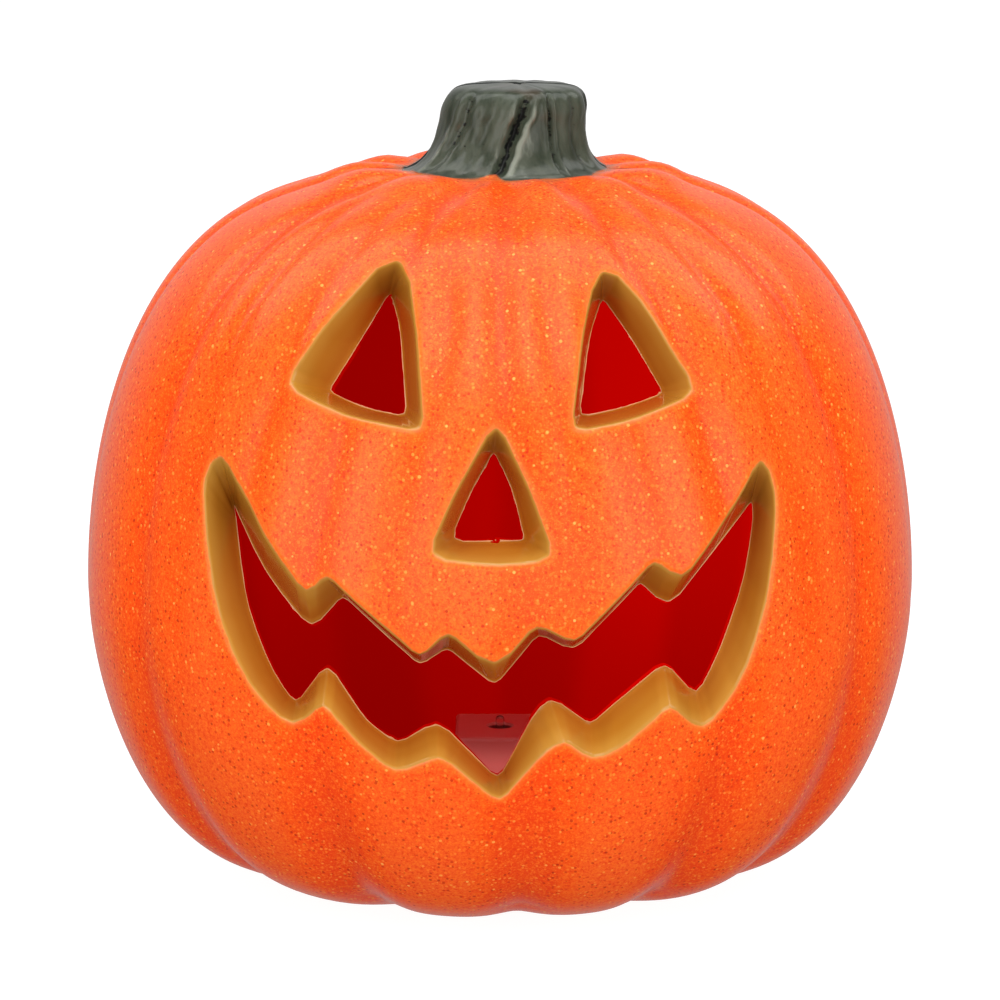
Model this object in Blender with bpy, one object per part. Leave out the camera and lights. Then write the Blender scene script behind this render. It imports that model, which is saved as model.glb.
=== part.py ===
"""Hollow plastic jack-o'-lantern with a battery light unit in its base.

The shell is one blow-moulded piece: a ribbed pumpkin with its stem, and a
carved face of four funnel-shaped openings.  A light unit screws into the
round opening of its floor.  Lengths in this file are millimetres, and the
meshes are made in metres.  Z is up, the face looks along -Y, and the origin
is the middle of the ring that the pumpkin stands on.
"""
import math

import bmesh
import bpy
from mathutils import Vector

MM = 0.001
GAP = 0.3                    # space between pieces that touch

# Pumpkin body: two superellipse profiles that meet at the equator
BODY_RADIUS = 140.5
EQUATOR_Z = 96.5
UPPER_HEIGHT = 142.0
UPPER_POWERS = (3.66, 1.92)
LOWER_HEIGHT = 98.0
LOWER_POWERS = (5.0, 1.62)
WALL = 1.8

# Valleys between the lobes, by azimuth; 0 degrees is the front, 90 degrees is +X
VALLEYS = (-57, -26, 3, 30, 57, 84, 112, 140, 168, 196, 223, 249, 276, 303)
LOBE_COLUMNS = 4
VALLEY_SHARPNESS = 1.3
RIB_DEPTHS = ((-90, 0.0), (-80, 0.2), (-66, 2.4), (-40, 2.6), (0, 1.6), (45, 1.6), (75, 1.7), (86, 0.4))
OUTSIDE_ANGLES = (-79, -73, -66, -56, -44, -30, -15, 0, 12, 24, 36, 48, 58, 67, 75, 81)
INSIDE_ANGLES = (-78, -68, -56, -42, -27, -13, 0, 13, 26, 39, 52, 64, 74, 81)
RECESS_ANGLES = (-80, -60, -40, -20, 0, 15, 30, 45, 58, 70, 80)

# Floor: a dished disc inside the standing ring
RING_INNER = 57.0
RING_OUTER = 66.0
FLOOR_RADIUS = 54.0
FLOOR_Z = 5.7
BASE_HOLE_RADIUS = 44.0
RING_DRAFT = 0.6             # share of the wall by which the ring's inside corners move out

# Stem: (radius, height above the equator), from its foot to the middle of its top
STEM_PROFILE = ((33.6, 141.6), (30.4, 143.4), (27.4, 146.8), (25.4, 151.5), (24.3, 157.0),
                (23.9, 162.5), (22.2, 166.9), (18.3, 169.1), (9.0, 170.1))
STEM_TOP = 170.3
STEM_FOOT_X = 2.2
STEM_LEAN = 0.13             # sideways shift per unit of height
STEM_SHIFT_START = 125.0     # height above which the body's middle drifts to the stem's foot
STEM_RIDGES = 9
STEM_GROOVE = 1.3
STEM_TWIST = math.radians(40)
STEM_WALL = 2.2
STEM_FOOT_DRAFT = 0.3

# Face: corners as (x, height above the equator, corner radius).  Each opening
# has a rim on the pumpkin's surface and a smaller cut edge RECESS deep.
RECESS = 16.0
COLLAR_WALL = 1.8
LEFT_EYE_RIM = ((-29.5, 125, 5), (-54.5, 104.5, 80), (-68.5, 86, 4),
                (-51, 78.5, 100), (-24, 74.5, 3.5), (-26, 102.5, 100))
LEFT_EYE_CUT = ((-35, 111.5, 1.5), (-45, 96, 100), (-54.5, 81.5, 1.5),
                (-44, 77.5, 100), (-29, 75.5, 2.5), (-31.5, 102, 60))
RIGHT_EYE_RIM = ((31.5, 124, 4), (26, 102.5, 100), (22.5, 74.5, 3.5),
                 (43.5, 77.5, 100), (63, 84.5, 4), (44.5, 113, 60))
RIGHT_EYE_CUT = ((32.5, 110, 1.5), (28, 99, 60), (24.5, 75.5, 2.5),
                 (40.5, 78, 100), (52, 81, 1.5), (42, 97.5, 100))
NOSE_RIM = ((-1, 78.5, 3), (-14.5, 55, 100), (-22.5, 37, 4), (0, 34.5, 200), (17, 36.5, 4), (9.5, 56.5, 100))
NOSE_CUT = ((-2, 66.5, 1), (-9.5, 53.5, 60), (-16, 38.5, 3), (-1.5, 38.8, 200), (8, 39, 1.5), (4, 55.5, 60))
MOUTH_RIM = ((-88.5, 63.5, 3), (-74, 39.5, 60), (-61.5, 22.5, 4), (-54.5, 29.5, 3), (-25, 5.5, 4),
             (-16, 14, 3), (-1.5, 2, 4), (11.5, 16, 4), (23.5, 10, 5), (48.5, 34.5, 3),
             (57, 27.5, 5), (75, 49, 60), (82.5, 64, 3), (87.5, 51.5, 30), (85, 18, 150),
             (76, -10, 60), (64, -22, 5), (53.5, -11.5, 4), (37, -25, 15), (29, -28, 6),
             (20.5, -21.5, 4), (14.5, -25, 15), (0, -42.5, 3), (-15, -28.5, 10), (-19.5, -26.5, 6),
             (-33, -32.5, 6), (-44, -23.5, 60), (-56, -11.5, 4), (-66, -21, 5), (-79.5, -8.5, 60),
             (-89.5, 11, 100), (-93, 35.5, 150), (-94.5, 55, 25))
MOUTH_CUT = ((-85.5, 45, 1), (-74.5, 24.5, 60), (-59.5, 8.5, 4), (-49.5, 20.5, 2.5), (-25, 0, 3),
             (-16.5, 6, 3), (-1.5, -6, 2.5), (12, 10.5, 3.5), (23, 4.5, 5), (44, 25, 1.5),
             (53, 16, 5), (68.5, 33.5, 60), (80.5, 46.5, 1), (81, 41, 30), (78.5, 23.5, 150),
             (70.5, 1, 150), (62.5, -14.5, 3), (52, -1.5, 3.5), (36.5, -13.5, 60), (28.5, -20.5, 3),
             (15.5, -10, 5), (9.5, -18.5, 20), (-0.5, -39, 2.5), (-12, -26.5, 15), (-19.5, -18.5, 6),
             (-32.5, -27.5, 5), (-42.5, -20, 20), (-54.5, -2, 3), (-65, -17.5, 2.5), (-72.5, -7.5, 60),
             (-80.5, 11.5, 100), (-83, 26.5, 150), (-84.5, 39, 60))
OPENINGS = (("left_eye", LEFT_EYE_RIM, LEFT_EYE_CUT), ("right_eye", RIGHT_EYE_RIM, RIGHT_EYE_CUT),
            ("nose", NOSE_RIM, NOSE_CUT), ("mouth", MOUTH_RIM, MOUTH_CUT))
CORNER_POINTS = 3
CORNER_PULL = 0.9            # 1 bends a rounded corner as far as a full quadratic arc
CORNER_SHARE = 0.45          # most of a side's length that its corner may round
PLUG_OVERSHOOT = 0.15
FRONT_PLANE = -175.0
BACK_PLANE = -50.0

# Light unit: a flange with a battery bay, and the cap that carries the lamp
FLANGE_RADIUS = 52.0
FLANGE_BOTTOM = 3.4
FLANGE_THICK = 2.0
FLANGE_TOP = FLANGE_BOTTOM + FLANGE_THICK
BAY_HALF = (16.0, 28.0)
BAY_WALL = 1.5
BAY_TOP = 25.4
SCREW_CIRCLE = 48.0
SCREW_ANGLES = (30, 150, 270)
SCREW_HOLE_RADIUS = 1.5
SCREW_HOLE_TOP = 12.0
SCREW_RADIUS = 1.2
SCREW_TIP = 10.0
SCREW_HEAD = 1.3
FLANGE_EDGE = 0.6
CUT_BELOW = -5.0             # where holes through the floor start
CAP_HALF = (15.2, 18.0)
CAP_BOTTOM = BAY_TOP + GAP
CAP_TOP = 47.0
CAP_WALL = 1.5
CAP_ROUNDING = 1.2
DISH_RADIUS = 4.6
DISH_DEPTH = 2.0
DISH_WALL = 1.2
LAMP_HOLE_RADIUS = 1.9

# Two cells of 14.2 by 50.5
CELL_RADIUS = 7.1
CELL_LENGTH = 50.5
CELL_X = 7.5
CELL_Z = 14.6
NUB_LENGTH = 1.0
NUB_RADIUS = 2.6
PLATE_Y = 27.2               # inner face of the contact plates
PLATE_THICK = 0.4
PLATE_HALF = 4.5
PLATE_LOW = CELL_Z - 5.0
PLATE_HIGH = CELL_Z + 6.5
COIL_WIRE = 0.3
COIL_RADII = (4.2, 2.8)      # at the plate and at the cell

# Circuit board and lamp
BOARD_HALF = (12.5, 15.0)
BOARD_Z = 36.0
BOARD_THICK = 1.2
POST_RADIUS = 2.4
POST_Y = 11.5
PILOT_RADIUS = 1.1
PILOT_LOW = 29.0
BOARD_SCREW_RADIUS = 0.8
BOARD_SCREW_TIP = 30.0
BOARD_SCREW_HEAD = 1.1
LAMP_RADIUS = 1.55
LAMP_TOP = 50.6
LAMP_BASE = 44.3
LEAD_X = 1.27
LEAD_RADIUS = 0.25

# Slide switch on the flange, and the battery door
SWITCH_Y = -36.5
SWITCH_HALF = (6.0, 3.0)
SWITCH_TOP = 11.4
KNOB_HALF = (1.4, 1.4)
KNOB_REST_X = -1.5
KNOB_TRAVEL = 3.0
KNOB_LOW = 1.3
KNOB_HIGH = 8.8
KNOB_ROOM = 1.8              # half the depth of the knob's slot
LATCH_HALF = 5.0
LATCH_LENGTH = 3.0
TAB_X = 8.0
TAB_HALF = 1.9
TAB_LOW = 6.1
TAB_HIGH = 7.1

# Insulated wires
WIRE_RADIUS = 0.6
ROOF_HOLE_RADIUS = 1.3
ROOF_HOLE = (10.0, 14.5)
NOTCH_X = 4.0

ORANGE = (1.0, 0.16, 0.02)
MILKY = (0.86, 0.80, 0.76)
WHITE = (0.85, 0.84, 0.82)
BLACK = (0.02, 0.02, 0.022)
STEEL = (0.62, 0.61, 0.58)
JACKET = (0.1, 0.1, 0.12)
GREEN = (0.02, 0.16, 0.06)
RED = (0.6, 0.01, 0.01)
CLEAR = (0.92, 0.92, 0.90)


def clear_scene():
    for obj in list(bpy.data.objects):
        bpy.data.objects.remove(obj, do_unlink=True)


def material(name, colour, roughness, metallic=0.0):
    """One plain material for each piece."""
    mat = bpy.data.materials.new(name)
    mat.use_nodes = True
    shader = mat.node_tree.nodes["Principled BSDF"]
    shader.inputs["Base Color"].default_value = (*colour, 1.0)
    shader.inputs["Roughness"].default_value = roughness
    shader.inputs["Metallic"].default_value = metallic
    mat.diffuse_color = (*colour, 1.0)
    return mat


def add_object(name, data, look=None):
    """Link an object; look is (colour, roughness, metallic), or None for a guide."""
    obj = bpy.data.objects.new(name, data)
    bpy.context.scene.collection.objects.link(obj)
    if look is None:
        obj.hide_render = True
        obj.display_type = "WIRE"
    else:
        data.materials.append(material(name, *look))
    return obj


def add_mesh(name, points, faces, look=None):
    """A mesh object from points in millimetres, its faces turned outwards."""
    mesh = bpy.data.meshes.new(name)
    mesh.from_pydata([Vector(p) * MM for p in points], [], faces)
    shape = bmesh.new()
    shape.from_mesh(mesh)
    bmesh.ops.remove_doubles(shape, verts=shape.verts, dist=1e-6)
    bmesh.ops.recalc_face_normals(shape, faces=shape.faces)
    shape.to_mesh(mesh)
    shape.free()
    return add_object(name, mesh, look)


def stack_rings(name, rings, look=None):
    """Join rings of equal length into a closed solid, with a flat face on each end."""
    count = len(rings[0])
    points = [p for ring in rings for p in ring]
    faces = []
    for row in range(len(rings) - 1):
        low, high = row * count, (row + 1) * count
        for i in range(count):
            j = (i + 1) % count
            faces.append((low + i, low + j, high + j, high + i))
    faces.append(tuple(range(count)))
    faces.append(tuple(range(len(points) - count, len(points))))
    return add_mesh(name, points, faces, look)


def turned(name, profile, centre=(0, 0), sides=16, axis="Z", look=None):
    """A solid of revolution.  profile holds (radius, position along the axis)."""
    rings = []
    for radius, along in profile:
        ring = []
        for i in range(sides):
            angle = math.tau * (i + 0.5) / sides
            u, v = radius * math.cos(angle), radius * math.sin(angle)
            if axis == "Z":
                ring.append((centre[0] + u, centre[1] + v, along))
            else:
                ring.append((centre[0] + u, along, centre[1] + v))
        rings.append(ring)
    return stack_rings(name, rings, look)


def block(name, low, high, look=None, bevel=0.0):
    """A box between two corners, with rounded edges where bevel is given."""
    ring = [(low[0], low[1]), (high[0], low[1]), (high[0], high[1]), (low[0], high[1])]
    obj = stack_rings(name, [[(*p, low[2]) for p in ring], [(*p, high[2]) for p in ring]], look)
    if bevel:
        rounding = obj.modifiers.new("rounding", "BEVEL")
        rounding.width = bevel * MM
        rounding.segments = 2
    return obj


def combine(target, operation, *tools):
    """Apply each tool to the target with a live Boolean modifier."""
    for tool in tools:
        step = target.modifiers.new(tool.name, "BOOLEAN")
        step.operation = operation
        step.solver = "EXACT"
        step.object = tool
    return target


def smooth(obj, angle=35):
    obj.data.shade_smooth()
    obj.data.set_sharp_from_angle(angle=math.radians(angle))


def tube(name, points, radius, look, sides_half=2):
    """A round wire along points, with closed ends."""
    curve = bpy.data.curves.new(name, "CURVE")
    curve.dimensions = "3D"
    curve.bevel_depth = radius * MM
    curve.bevel_resolution = sides_half
    curve.use_fill_caps = True
    spline = curve.splines.new("POLY")
    spline.points.add(len(points) - 1)
    for slot, point in zip(spline.points, points):
        slot.co = (*(Vector(point) * MM), 1.0)
    return add_object(name, curve, look)


def smooth_route(knots, steps=6):
    """Points of a Catmull-Rom curve through the knots."""
    knots = [Vector(k) for k in knots]
    padded = [2 * knots[0] - knots[1], *knots, 2 * knots[-1] - knots[-2]]
    route = []
    for a, b, c, d in zip(padded, padded[1:], padded[2:], padded[3:]):
        for i in range(steps):
            t = i / steps
            route.append(0.5 * (2 * b + (c - a) * t + (2 * a - 5 * b + 4 * c - d) * t * t
                                + (3 * b - a - 3 * c + d) * t ** 3))
    route.append(knots[-1])
    return route


# Pumpkin shell ---------------------------------------------------------------

def interpolate(table, value):
    """Linear reading of a table of (position, value) pairs."""
    for (a, low), (b, high) in zip(table, table[1:]):
        if value <= b:
            return low + (high - low) * max(value - a, 0) / (b - a)
    return table[-1][1]


def body_point(angle):
    """(radius, height above the equator) of the body's profile, -90 to 90 degrees."""
    height, (p, q) = (UPPER_HEIGHT, UPPER_POWERS) if angle >= 0 else (LOWER_HEIGHT, LOWER_POWERS)
    turn = math.radians(abs(angle))
    radius = BODY_RADIUS * math.cos(turn) ** (2 / p)
    return radius, math.copysign(height * math.sin(turn) ** (2 / q), angle)


def body_row(angle, inset):
    """A profile point moved inwards by inset, and the inward direction there."""
    (r0, z0), (r1, z1) = body_point(angle - 0.5), body_point(angle + 0.5)
    length = math.hypot(r1 - r0, z1 - z0)
    inward = (-(z1 - z0) / length, (r1 - r0) / length)
    radius, height = body_point(angle)
    return radius + inward[0] * inset, height + inward[1] * inset, inward


def stem_shift(height):
    """Sideways place of the stem's middle at a height above the equator."""
    foot = STEM_PROFILE[0][1]
    if height >= foot:
        return STEM_FOOT_X + STEM_LEAN * (height - foot)
    blend = max(0.0, (height - STEM_SHIFT_START) / (foot - STEM_SHIFT_START))
    return STEM_FOOT_X * blend * blend


def columns():
    """(azimuth, rib) around the body: rib is 1 in a valley and 0 on a lobe's crown."""
    found = []
    for start, end in zip(VALLEYS, VALLEYS[1:]):
        for k in range(LOBE_COLUMNS):
            phase = k / LOBE_COLUMNS
            rib = (0.5 + 0.5 * math.cos(math.tau * phase)) ** VALLEY_SHARPNESS
            found.append((math.radians(start + (end - start) * phase), rib))
    return found


def ring_at(radius, height, depth=0.0, inward=(-1.0, 0.0)):
    """A ring of the body, its valleys depth deep."""
    ring = []
    for azimuth, rib in columns():
        sunk = depth * rib
        r, z = radius + inward[0] * sunk, height + inward[1] * sunk
        ring.append((stem_shift(height) + r * math.sin(azimuth), -r * math.cos(azimuth), EQUATOR_Z + z))
    return ring


def stem_rings(inset):
    """The stem's rings, with twisted grooves on its outside."""
    rings = []
    foot = STEM_PROFILE[0][1]
    for radius, height in STEM_PROFILE[1::2] if inset else STEM_PROFILE[1:]:
        rise = (height - foot) / (STEM_TOP - foot)
        groove = STEM_GROOVE * min(1.0, 4 * rise) * min(1.0, 6 * (1 - rise)) if not inset else 0.0
        ring = []
        for azimuth, _ in columns():
            wave = 0.5 + 0.5 * math.cos(STEM_RIDGES * (azimuth + STEM_TWIST * rise))
            r = max(radius - inset - groove * wave, 1.0)
            ring.append((stem_shift(height) + r * math.sin(azimuth), -r * math.cos(azimuth),
                         EQUATOR_Z + height - inset * rise))
        rings.append(ring)
    return rings


def body_solid(name, inset, look=None):
    """The whole outside (inset 0), or the hollow inside the wall."""
    floor = FLOOR_Z - EQUATOR_Z + inset
    ring_bottom = inset - EQUATOR_Z
    draft = RING_DRAFT * inset
    rings = [ring_at(FLOOR_RADIUS + draft, floor), ring_at(RING_INNER + draft, ring_bottom),
             ring_at(RING_OUTER, ring_bottom)]
    for angle in INSIDE_ANGLES if inset else OUTSIDE_ANGLES:
        radius, height, inward = body_row(angle, inset)
        depth = interpolate(RIB_DEPTHS, angle)
        rings.append(ring_at(radius, max(height, ring_bottom), depth, inward))
    foot_radius, foot = STEM_PROFILE[0]
    rings.append(ring_at(foot_radius - STEM_FOOT_DRAFT * inset, foot - inset))
    rings += stem_rings(inset and STEM_WALL)
    return stack_rings(name, rings, look)


def recess_solid():
    """The body shrunk by the recess depth: where the carved funnels end."""
    rings = []
    for angle in RECESS_ANGLES:
        radius, height, _ = body_row(angle, RECESS)
        rings.append(ring_at(radius, height))
    return stack_rings("recess_guide", rings)


def rounded_outline(corners):
    """The closed outline through the corners, each rounded by its radius."""
    points = [Vector(c[:2]) for c in corners]
    outline = []
    for i, (corner, (_, _, radius)) in enumerate(zip(points, corners)):
        before, after = points[i - 1] - corner, points[(i + 1) % len(points)] - corner
        half = before.angle(after) / 2
        reach = CORNER_SHARE * min(before.length, after.length)
        trim = min(radius / math.tan(half), reach)
        start, end = corner + before.normalized() * trim, corner + after.normalized() * trim
        # a quadratic arc from start to end, pulled towards the corner
        for k in range(CORNER_POINTS):
            t = k / (CORNER_POINTS - 1)
            pulled = 2 * t * (1 - t) * CORNER_PULL
            outline.append((start * (1 - t) + end * t) * (1 - pulled) + corner * pulled)
    return outline


def grown(outline, distance):
    """The outline moved outwards by distance."""
    area = sum(a.x * b.y - b.x * a.y for a, b in zip(outline, outline[1:] + outline[:1]))
    side = 1 if area > 0 else -1
    moved = []
    for i, point in enumerate(outline):
        along = (outline[(i + 1) % len(outline)] - outline[i - 1]).normalized()
        moved.append(point + Vector((along.y, -along.x)) * side * distance)
    return moved


def front_depth(x, height, inset):
    """Y of the body's front at x and at a height above the equator."""
    upper = height >= 0
    (p, q), tall = (UPPER_POWERS, UPPER_HEIGHT) if upper else (LOWER_POWERS, LOWER_HEIGHT)
    level = 1 - (abs(height) / (tall - inset)) ** q
    radius = (BODY_RADIUS - inset) * level ** (1 / p)
    return -math.sqrt(radius * radius - x * x)


def funnel(name, rim, cut, growth):
    """The tapered plug of an opening, from in front of the body to behind its cut edge."""
    rim_loop = grown(rounded_outline(rim), growth)
    cut_loop = grown(rounded_outline(cut), growth)
    outer, inner = [], []
    for a, b in zip(rim_loop, cut_loop):
        on_rim = Vector((a.x, front_depth(a.x, a.y, 0), a.y))
        on_cut = Vector((b.x, front_depth(b.x, b.y, RECESS), b.y))
        outer.append(on_rim + PLUG_OVERSHOOT * (on_rim - on_cut))
        inner.append(on_cut)
    lift = Vector((0, 0, EQUATOR_Z))
    loops = [[Vector((p.x, FRONT_PLANE, p.z)) for p in outer], outer, inner,
             [Vector((p.x, BACK_PLANE, p.z)) for p in inner]]
    return stack_rings(name, [[p + lift for p in loop] for loop in loops])


def make_shell():
    shell = body_solid("pumpkin_shell", 0.0, (ORANGE, 0.45))
    hollow = body_solid("hollow", WALL)
    recess = recess_solid()
    for name, rim, cut in OPENINGS:
        collar = funnel(name + "_collar", rim, cut, COLLAR_WALL)
        combine(collar, "DIFFERENCE", recess)
        combine(hollow, "DIFFERENCE", collar)
    combine(shell, "DIFFERENCE", hollow)
    for name, rim, cut in OPENINGS:
        combine(shell, "DIFFERENCE", funnel(name + "_plug", rim, cut, 0.0))
    hole = ((BASE_HOLE_RADIUS, CUT_BELOW), (BASE_HOLE_RADIUS, SCREW_HOLE_TOP))
    cuts = [turned("base_hole", hole, sides=48)]
    for i, place in enumerate(screw_places(), 1):
        cuts.append(screw_hole(f"shell_screw_hole_{i}", place))
    combine(shell, "DIFFERENCE", *cuts)
    smooth(shell, 50)


# Light unit ------------------------------------------------------------------

def screw_places():
    return [(SCREW_CIRCLE * math.cos(math.radians(a)), SCREW_CIRCLE * math.sin(math.radians(a)))
            for a in SCREW_ANGLES]


def screw_hole(name, place):
    profile = ((SCREW_HOLE_RADIUS, CUT_BELOW), (SCREW_HOLE_RADIUS, SCREW_HOLE_TOP))
    return turned(name, profile, place, sides=8)


def make_housing():
    """Flange, battery bay with its roof, and the two posts of the circuit board."""
    profile = ((FLANGE_RADIUS - FLANGE_EDGE, FLANGE_BOTTOM), (FLANGE_RADIUS, FLANGE_BOTTOM + FLANGE_EDGE),
               (FLANGE_RADIUS, FLANGE_TOP))
    housing = turned("battery_housing", profile, sides=56, look=(WHITE, 0.4))
    x, y = BAY_HALF[0] + BAY_WALL, BAY_HALF[1] + BAY_WALL
    combine(housing, "UNION", block("bay_outside", (-x, -y, FLANGE_TOP - 1), (x, y, BAY_TOP)))
    for i, side in enumerate((-1, 1), 1):
        post = turned(f"board_post_{i}", ((POST_RADIUS, BAY_TOP - 1), (POST_RADIUS, BOARD_Z - GAP)),
                      (0, side * POST_Y), sides=12)
        combine(housing, "UNION", post)
    combine(housing, "DIFFERENCE", *bay_cuts(), *pair_cuts())
    for i, place in enumerate(screw_places(), 1):
        combine(housing, "DIFFERENCE", screw_hole(f"flange_screw_hole_{i}", place))
    smooth(housing)


def bay_cuts():
    """The bay's inside, the notch of the door's latch and the slot of the switch's knob."""
    x, y = BAY_HALF
    knob = KNOB_TRAVEL / 2 + KNOB_HALF[0] + 0.4
    latch = LATCH_HALF + GAP
    slot = block("knob_slot", (-knob, SWITCH_Y - KNOB_ROOM, 0),
                 (knob, SWITCH_Y + KNOB_ROOM, FLANGE_TOP + 2.6))
    return [block("bay_inside", (-x, -y, 0), (x, y, BAY_TOP - BAY_WALL)),
            block("latch_notch", (-latch, y - 1, 0), (latch, y + LATCH_LENGTH, FLANGE_TOP + GAP)), slot]


def pair_cuts():
    """Notches of the door's tabs, pilot holes of the posts, and holes of the wires in the roof."""
    y = BAY_HALF[1]
    half = TAB_HALF + 0.5
    cuts = []
    for i, side in enumerate((-1, 1), 1):
        middle = side * TAB_X
        cuts.append(block(f"tab_notch_{i}", (middle - half, -y - 1.2, TAB_LOW - 0.4),
                          (middle + half, -y + 1, TAB_HIGH + 0.8)))
        cuts.append(turned(f"post_hole_{i}", ((PILOT_RADIUS, PILOT_LOW), (PILOT_RADIUS, BOARD_Z + 1)),
                           (0, side * POST_Y), sides=8))
        cuts.append(turned(f"roof_hole_{i}", ((ROOF_HOLE_RADIUS, 20), (ROOF_HOLE_RADIUS, 28)),
                           (side * ROOF_HOLE[0], ROOF_HOLE[1]), sides=8))
    return cuts


def make_cap():
    """The milky box over the board, with the dish that the lamp stands in."""
    x, y = CAP_HALF
    cap = block("light_cap", (-x, -y, CAP_BOTTOM), (x, y, CAP_TOP), (MILKY, 0.3),
                bevel=CAP_ROUNDING)
    inside = (x - CAP_WALL, y - CAP_WALL)
    cuts = [block("cap_inside", (-inside[0], -inside[1], CAP_BOTTOM - 2), (*inside, CAP_TOP - CAP_WALL))]
    bottom = CAP_TOP - DISH_DEPTH
    bowl = ((LAMP_HOLE_RADIUS, bottom), (3.4, bottom + 0.3), (DISH_RADIUS, CAP_TOP - 0.5),
            (DISH_RADIUS + 0.4, CAP_TOP + 1))
    edge = DISH_RADIUS + DISH_WALL
    under = turned("dish_under", ((2.6, bottom - DISH_WALL), (edge, CAP_TOP - 1.8), (edge, CAP_TOP - 0.6)),
                   sides=20)
    cuts.append(turned("dish", bowl, sides=20))
    hole = ((LAMP_HOLE_RADIUS, CAP_TOP - 7), (LAMP_HOLE_RADIUS, CAP_TOP + 1))
    cuts.append(turned("lamp_hole", hole, sides=12))
    for i, side in enumerate((-1, 1), 1):
        middle = side * NOTCH_X
        notch = block(f"wire_notch_{i}", (middle - 1, -y - 1, CAP_BOTTOM - 1),
                      (middle + 1, -y + 3, CAP_BOTTOM + 2.7))
        cuts.append(notch)
    combine(cap, "DIFFERENCE", cuts[0])
    combine(cap, "UNION", under)
    combine(cap, "DIFFERENCE", *cuts[1:])
    smooth(cap)


def make_board():
    x, y = BOARD_HALF
    board = block("circuit_board", (-x, -y, BOARD_Z), (x, y, BOARD_Z + BOARD_THICK), (GREEN, 0.4))
    low, high = BOARD_Z - 2, BOARD_Z + 4
    holes = []
    for i, side in enumerate((-1, 1), 1):
        holes.append(turned(f"board_hole_{i}", ((1.4, low), (1.4, high)), (0, side * POST_Y), sides=10))
        holes.append(turned(f"lead_hole_{i}", ((0.6, low), (0.6, high)), (side * LEAD_X, 0), sides=8))
    combine(board, "DIFFERENCE", *holes)
    top = BOARD_Z + BOARD_THICK + GAP
    block("resistor", (5.0, -5.6, top), (6.6, -2.4, top + 0.6), (BLACK, 0.35))


def make_lamp():
    """The clear lamp: a collar, a straight body and a domed top, on two leads."""
    shoulder = LAMP_TOP - LAMP_RADIUS
    profile = [(1.75, LAMP_BASE), (1.75, LAMP_BASE + 0.7), (LAMP_RADIUS, LAMP_BASE + 0.9)]
    for step in range(5):
        turn = math.radians(20 * step)
        profile.append((LAMP_RADIUS * math.cos(turn), shoulder + LAMP_RADIUS * math.sin(turn)))
    smooth(turned("lamp", profile, look=(CLEAR, 0.08)), 60)
    for name, side in (("lamp_lead_plus", -1), ("lamp_lead_minus", 1)):
        profile = ((LEAD_RADIUS, BOARD_Z - 1.6), (LEAD_RADIUS, LAMP_BASE - GAP))
        turned(name, profile, (side * LEAD_X, 0), sides=6, look=(STEEL, 0.3, 1.0))


def make_screw(name, place, head_low, head_high, tip, radius, recess):
    """A pan-head screw, its head facing away from its tip; recess adds a cross slot."""
    up = 1 if head_low > tip else -1
    outer, inner = (head_high, head_low) if up == 1 else (head_low, head_high)
    profile = ((radius * 1.5, outer), (radius * 2.1, outer - up * 0.5), (radius * 2.1, inner),
               (radius, inner), (radius, tip + up * 0.8), (radius * 0.4, tip))
    screw = turned(name, profile, place, sides=12, look=(STEEL, 0.35, 1.0))
    if not recess:
        return
    arm, thick, deep = radius * 1.2, radius * 0.25, outer - up * 0.7
    low, high = sorted((deep, outer + up))
    x, y = place
    cross = block(name + "_slot_a", (x - arm, y - thick, low), (x + arm, y + thick, high))
    other = block(name + "_slot_b", (x - thick, y - arm, low - 0.01), (x + thick, y + arm, high + 0.01))
    combine(cross, "UNION", other)
    combine(screw, "DIFFERENCE", cross)
    smooth(screw)


def make_screws():
    head = FLANGE_BOTTOM - GAP
    for i, place in enumerate(screw_places(), 1):
        make_screw(f"flange_screw_{i}", place, head - SCREW_HEAD, head, SCREW_TIP, SCREW_RADIUS, True)
    top = BOARD_Z + BOARD_THICK + GAP
    for i, side in enumerate((-1, 1), 1):
        make_screw(f"board_screw_{i}", (0, side * POST_Y), top, top + BOARD_SCREW_HEAD, BOARD_SCREW_TIP,
                   BOARD_SCREW_RADIUS, False)


def make_cells():
    """Two cells side by side, their raised ends facing opposite ways."""
    for name, side in (("battery_cell_left", 1), ("battery_cell_right", -1)):
        tip = side * (PLATE_Y - GAP)
        shoulder = tip - side * NUB_LENGTH
        base = tip - side * CELL_LENGTH
        r = CELL_RADIUS
        profile = ((NUB_RADIUS, tip), (NUB_RADIUS, shoulder), (r - 0.5, shoulder), (r, shoulder - side * 0.5),
                   (r, base + side * 0.5), (r - 0.5, base))
        smooth(turned(name, profile, (-side * CELL_X, CELL_Z), sides=20, axis="Y", look=(JACKET, 0.3)))


def make_contacts():
    """Plates in the ends of the bay, and the coils that press on the cells' flat ends."""
    near, far = PLATE_Y, PLATE_Y + PLATE_THICK
    look = (STEEL, 0.3, 1.0)
    for name, x in (("contact_plate_plus", -CELL_X), ("contact_plate_minus", CELL_X)):
        block(name, (x - PLATE_HALF, near, PLATE_LOW), (x + PLATE_HALF, far, PLATE_HIGH), look)
    reach = CELL_X + PLATE_HALF
    block("contact_bridge", (-reach, -far, PLATE_LOW), (reach, -near, PLATE_HIGH - 1.5), look)
    start = PLATE_Y - GAP - COIL_WIRE
    end = CELL_LENGTH - PLATE_Y + 2 * GAP + COIL_WIRE
    for name, side in (("contact_spring_minus", 1), ("contact_spring_bridge", -1)):
        tube(name, coil_points(side * CELL_X, side * start, side * end), COIL_WIRE, look, 1)


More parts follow.
